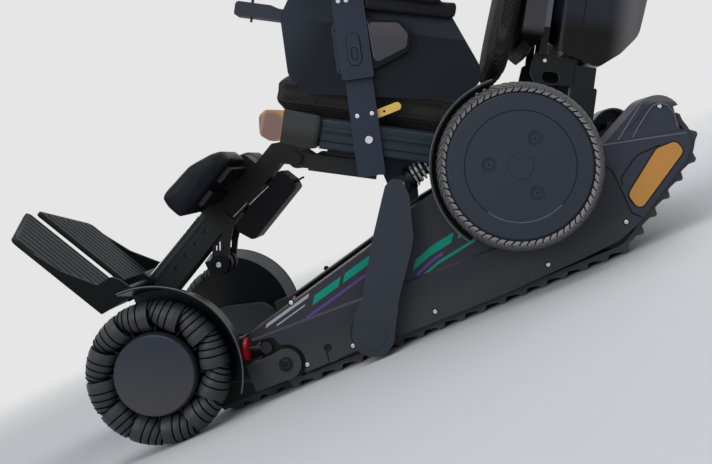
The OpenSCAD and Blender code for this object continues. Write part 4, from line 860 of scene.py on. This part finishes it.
def pad(node, name, body, material, swell, inset=0.001, grid=0.006, rounds=3, fuller=None):
    """The soft piece of one node: remeshed, blown up a little as cloth and rounded off.

    fuller fills the node's shape out before that.
    """
    piece = bpy.data.objects.new(name, nodes[node].data.copy())
    scene.collection.objects.link(piece)
    select_only(piece)
    bpy.ops.object.mode_set(mode="EDIT")
    bpy.ops.mesh.select_all(action="SELECT")
    bpy.ops.mesh.remove_doubles(threshold=0.00002)
    bpy.ops.mesh.normals_make_consistent(inside=False)
    bpy.ops.transform.shrink_fatten(value=-inset)
    bpy.ops.object.mode_set(mode="OBJECT")
    remesh = piece.modifiers.new("even", "REMESH")
    remesh.mode = "VOXEL"
    remesh.voxel_size = grid
    bpy.ops.object.modifier_apply(modifier=remesh.name)
    if fuller:
        for vertex in piece.data.vertices:
            vertex.co = fuller(vertex.co)
    start = [(v.co.copy(), v.normal.copy()) for v in piece.data.vertices]
    cloth = piece.modifiers.new("cloth", "CLOTH")
    cloth.settings.use_pressure = True
    cloth.settings.uniform_pressure_force = 4
    cloth.settings.effector_weights.gravity = 0
    cloth.settings.quality = 4
    cloth.point_cache.frame_start = 1
    cloth.point_cache.frame_end = PUFF_FRAMES
    for moment in range(1, PUFF_FRAMES + 1):
        scene.frame_set(moment)
    puffed = piece.evaluated_get(bpy.context.evaluated_depsgraph_get())
    blown = [v.co.copy() for v in puffed.data.vertices]
    piece.modifiers.remove(cloth)
    scene.frame_set(1)
    for vertex, (before, out), after in zip(piece.data.vertices, start, blown):
        rise = (after - before).dot(out)
        vertex.co = before + out * max(-SINK_SHARE * swell, min(swell, rise))
    soft = piece.modifiers.new("soft", "SMOOTH")
    soft.factor = 0.5
    soft.iterations = rounds
    bpy.ops.object.modifier_apply(modifier=soft.name)
    fine_skin = piece.modifiers.new("fine", "SUBSURF")
    fine_skin.levels = 1
    bpy.ops.object.modifier_apply(modifier=fine_skin.name)
    bpy.ops.object.shade_smooth()
    piece.data.materials.clear()
    piece.data.materials.append(material)
    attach(piece, body)
    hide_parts(node)


cushion_mesh = fabric_of("cushion_mesh", (0.0015, 0.0015, 0.0015), (0.045, 0.044, 0.043), 205)
CUSHION_MID = -59
CUSHION_HALF = (209, 213)
SOFT_POWER, FULL_POWER = 6.7, 40


def square_corners(spot):
    """Fills the cushion's corners out in plan, within its own box."""
    ahead = seat(1, 0, 0) - seat(0, 0, 0)
    along = (spot - seat(CUSHION_MID, 0, 0)).dot(ahead) / ahead.length_squared
    a, b = abs(along / CUSHION_HALF[0]), abs(spot.y * 1000 / CUSHION_HALF[1])
    reach = math.hypot(a, b)
    if reach < 0.2:
        return spot
    soft_rim, full_rim = (((a / reach) ** n + (b / reach) ** n) ** (-1 / n) for n in (SOFT_POWER, FULL_POWER))
    grow = full_rim / soft_rim - 1
    return spot + ahead * along * grow + Vector((0, spot.y * grow, 0))


pad("seat_cushion", "seat_cushion_soft", "seat", cushion_mesh, 0.007, 0.0, rounds=7,
    fuller=square_corners)

# Legrest: a painted swinging frame and sliding beam with bright edge strips, padded calf plates, a
# motor box and guide roller behind and two folding footplates with rubber mats. The beam's strip
# is a painted highlight on its rounded front edge.
beam_paint = finish_of("beam_paint", (0.008, 0.009, 0.011), 0.42, 1200, 0.08, 0.5)
dress(beam_paint, "foot_beam")
dress(case_plastic, "leg_motor_box", "leg_roller")
# The wide pale edges of the calf pads are a painted highlight.
calf_skin = finish_of("calf_skin", (0.007, 0.008, 0.012), 0.45, 500, 0.3, 0.8, edge=0.004, shine=0.12)
pad("calf_pads", "calf_pads_soft", "legrest", calf_skin, 0.003, 0.0005, 0.0045, 2)
foot_plastic = finish_of("foot_plastic", (0.004, 0.0045, 0.006), 0.4, 900, 0.12, 0.2, shine=0.08)
dress(foot_plastic, "left_footplate", "right_footplate")

LEG_LEAN = math.radians(31)
HEEL_P, TOE_P = -131, -400
FOOT_IN, FOOT_OUT = 18, 182
MAT_Q = (-471.3, -469.9)
ROLLER_PIN = (5, -293)
ROLLER_FACE = 42
ROLLER_BOLT = [(0, 1.0), (2.4, 1.0), (2.8, 2.2), (5.2, 2.2), (6.0, 1.4), (6.0, -1.0)]
# Bright steel strips along edges; the beam's one stands in for a painted highlight on its front edge.
STRIPS = [("box", (-17.7, 40.2, -94), (-25.4, 40.2, -150), 0.0012, "legrest"),
          ("frame", (-33, 30.4, -153), (-37, 30.4, -195), 0.0012, "legrest"),
          ("beam", (-99, 24.2, -245), (-99, 24.2, -440), 0.0022, "foot_slide")]


def leg(p, y, q):
    """A point in the legrest's frame, from millimetres fore and aft, across and along the leg."""
    return seat(KNEE[0] + p * math.cos(LEG_LEAN) + q * math.sin(LEG_LEAN), y,
                KNEE[1] - p * math.sin(LEG_LEAN) + q * math.cos(LEG_LEAN))


mat_rubber = finish_of("mat_rubber", (0.010, 0.0135, 0.020), 0.5, 900, 0.2)
for side, s in SIDES:
    corners = [(HEEL_P, FOOT_IN + 5), (HEEL_P, FOOT_OUT - 10), (TOE_P + 76, FOOT_OUT - 6),
               (TOE_P + 62, FOOT_OUT - 24), (TOE_P + 9, FOOT_IN + 5)]
    ring = [leg(p, s * y, MAT_Q[0]) for p, y in corners]
    lift = leg(0, 0, MAT_Q[1]) - leg(0, 0, MAT_Q[0])
    join_as(side + "_foot_mat", [outline_piece(ring, lift, 0.0005)], mat_rubber, side + "_foot")
    for label, start, end, radius, body in STRIPS:
        strip = [leg(p, s * y, q) for p, y, q in (start, end)]
        cord_piece(f"{side}_{label}_strip", strip, radius, bright_steel, body)
    spots = [(leg(ROLLER_PIN[0], s * ROLLER_FACE, ROLLER_PIN[1]), (0, s, 0))]
    repeat(side + "_roller_bolt", lathe(ROLLER_BOLT), spots, bright_steel, "legrest")

# Backrest: metal uprights on dark screwed brackets, a mesh cushion in front of a moulded shell and a
# glossy two-part pod behind, with painted shade towards its underside and a painted reflection towards its
# back.
POD_FACE = 144.1
POD_SEAM_U = 323
POD_ENDS = (312, 640)
BRACKET_FACE = 130
BRACKET_SCREW = (274.8, 410.6)
UPRIGHT_FROM = 358
bracket_paint = finish_of("bracket_paint", (0.010, 0.011, 0.014), 0.4, 1200, 0.08, 0.5, beyond=[{
    "mask": past_plane, "from": (seat(0, 0, UPRIGHT_FROM), SEAT_UP), "colour": (0.15, 0.16, 0.19),
    "metal": 0.5}])
dress(bracket_paint, "back_posts")
pad("back_cushion", "back_cushion_soft", "backrest", cushion_mesh, 0.004)
shell_plastic = finish_of("shell_plastic", (0.003, 0.003, 0.003), 0.6, 900, 0.1, 0.1, shine=0.05, beyond=[{
    "mask": ramp_along, "from": (seat(0, 0, 338), SEAT_UP, 0.02), "colour": (0.060, 0.058, 0.060)}])
dress(shell_plastic, "back_shell")
# Painted shade towards the pod's underside and a pale painted reflection towards its back.
pod_light_and_shade = [
    {"mask": ramp_along, "from": (seat(0, 0, 378), -SEAT_UP, 0.045), "colour": (0.002, 0.002, 0.002)},
    {"mask": ramp_along, "from": (seat(405, 0, 0), SEAT_BACK, 0.06), "colour": (0.15, 0.145, 0.147)}]
pod_gloss = finish_of("pod_gloss", (0.016, 0.020, 0.028), 0.24, 1500, 0.03, 0.0, 0.0, 0.1,
                      beyond=pod_light_and_shade, shine=0.15)
dress(pod_gloss, "rear_pod")
for side, s in SIDES:
    line = [seat(POD_SEAM_U, s * POD_FACE, w) for w in POD_ENDS]
    cord_piece(side + "_pod_seam", line, 0.0011, dark_joint_and_shade, "backrest")
    spots = [(row(BRACKET_SCREW[0], s * BRACKET_FACE, BRACKET_SCREW[1]), (0, s, 0))]
    repeat(side + "_bracket_screw", lathe(PAN_HEAD), spots, bright_steel, "backrest")

# Armrests: a painted sleeve on each post, a glossy side panel with its lock box, a padded top and
# the oval height button; the joystick console is on the right one.
POST_LEAN = math.radians(15.5)
ARM_FOOT = (-53, 12)
LOCK_BOX_Y = 233.8
SLEEVE_Y = 262
LOCK_Y = 255.8
PANEL_FACE = 233.6
LOCK_CORNER = 9
LOCK_FACE = [(-76, 224), (-20, 263), (-21, 289), (-42, 307), (-100.5, 300.5)]
LOCK_EDGE = [(-28.5, 600), (-43, 531)]
HINGE = [(-40, 204), (-30.4, 200), (-30.4, 300), (-36, 300), (-40, 290)]
HINGE_THICK = 6
HINGE_MID = -35.5
PINS_AT = (208, 286)
HINGE_PIN = [(0, 0.6), (1.4, 0.6), (2.2, 0.2), (2.2, -0.4)]
SLEEVE_SCREWS = [(-65.9, 654.6), (-51.5, 650.4)]


def panel_painted_light(tree):
    """Painted light on the panel: a painted highlight on the bevelled band along its top and painted light
    across its front.
    """
    band = past_plane(tree, seat(0, 0, 293.5), SEAT_UP)
    front_way = (-math.cos(TILT) * 0.9 + 0.2, 0, math.sin(TILT) * 0.9 + 0.35)
    return math_node(tree, "MAXIMUM", band, ramp_along(tree, seat(-216, 0, 258), front_way, 0.09))


# The panel is painted paler on its top band and across its front: painted highlights.
panel_gloss = finish_of("panel_gloss", (0.008, 0.012, 0.018), 0.24, 1500, 0.02, 0.3, 0.0, 0.05, beyond=[{
    "mask": panel_painted_light, "from": (), "colour": (0.022, 0.029, 0.041)}, {
    "mask": sideways, "from": (LOCK_BOX_Y / 1000, "GREATER_THAN"), "colour": (0.004, 0.004, 0.005)}],
    shine=0.12)
dress(panel_gloss, "left_side_panel", "right_side_panel")
dress(post_paint, "left_arm_button", "right_arm_button")
pad_skin = finish_of("pad_skin", (0.010, 0.010, 0.014), 0.5, 500, 0.3, shine=0.12)
for side, s in SIDES:
    pad(side + "_arm_pad", side + "_arm_pad_soft", side + "_arm", pad_skin, 0.002, 0.0003, 0.004, 1)
console_paint = finish_of("console_paint", (0.042, 0.048, 0.062), 0.5, 1200, 0.03, shine=0.06)
dress(console_paint, "joystick_console", "joystick_gimbal", "joystick_stick")


def arm(t, y, rise):
    """A point in the leaning armrest's frame, from millimetres fore and aft, across and up."""
    return seat(ARM_FOOT[0] + t * math.cos(POST_LEAN) - rise * math.sin(POST_LEAN), y,
                ARM_FOOT[1] + t * math.sin(POST_LEAN) + rise * math.cos(POST_LEAN))


def oval(half, low, high, y):
    """Points round a slot with round ends, in the armrest's frame."""
    ring = []
    for centre, start in ((high - half, 0), (low + half, math.pi)):
        for k in range(13):
            way = start + math.pi * k / 12
            ring.append(arm(half * math.cos(way), y, centre + half * math.sin(way)))
    return ring


# The lock face turns paler and warmer towards its top: a painted highlight.
lock_plastic = finish_of("lock_plastic", (0.050, 0.052, 0.060), 0.4, 1500, 0.05, 0.8, beyond=[{
    "mask": ramp_along, "from": (seat(0, 0, 285), SEAT_UP, 0.05), "colour": (0.082, 0.074, 0.078)}])
for side, s in SIDES:
    body = side + "_arm"
    out = (0, s, 0)
    cord_piece(side + "_button_gap", oval(12.0, 212, 272, s * (SLEEVE_Y + 0.1)), 0.0020, dark_joint_and_shade,
               body, closed=True, flat=0.2)
    # A pale grey line along the lock box's edge is a painted highlight.
    edge_line = [row(x, s * (LOCK_Y + 1.7), z) for x, z in LOCK_EDGE]
    cord_piece(side + "_lock_edge", edge_line, 0.0010, edge_highlight_grey, body)
    cord_piece(side + "_button_slot", oval(5.5, 222, 246, s * (SLEEVE_Y + 0.6)), 0.0010, dark_joint_and_shade,
               side + "_button", closed=True)
    spots = [(row(x, s * SLEEVE_Y, z), out) for x, z in SLEEVE_SCREWS]
    repeat(side + "_sleeve_screws", lathe(PAN_HEAD), spots, bright_steel, body)
    ring = [seat(u, s * LOCK_Y, w) for u, w in rounded_ring(LOCK_FACE, LOCK_CORNER)]
    join_as(side + "_lock_face", [outline_piece(ring, (0, s * 0.0018, 0), 0.001)], lock_plastic, body)
    ring = [arm(t, s * PANEL_FACE, w) for t, w in HINGE]
    hinge = outline_piece(ring, (0, s * HINGE_THICK / 1000, 0), 0.001)
    join_as(side + "_sleeve_hinge", [hinge], post_paint, body)
    spots = [(arm(HINGE_MID, s * (PANEL_FACE + HINGE_THICK), w), out) for w in PINS_AT]
    repeat(side + "_hinge_pins", lathe(HINGE_PIN), spots, dark_casting, body)
crisp(0.0012, "lift_arms", "arm_posts", "left_arm_sleeve", "right_arm_sleeve", "seat_frame",
      "lamp_housings", "amber_lamps", "side_covers", "sprocket_covers")
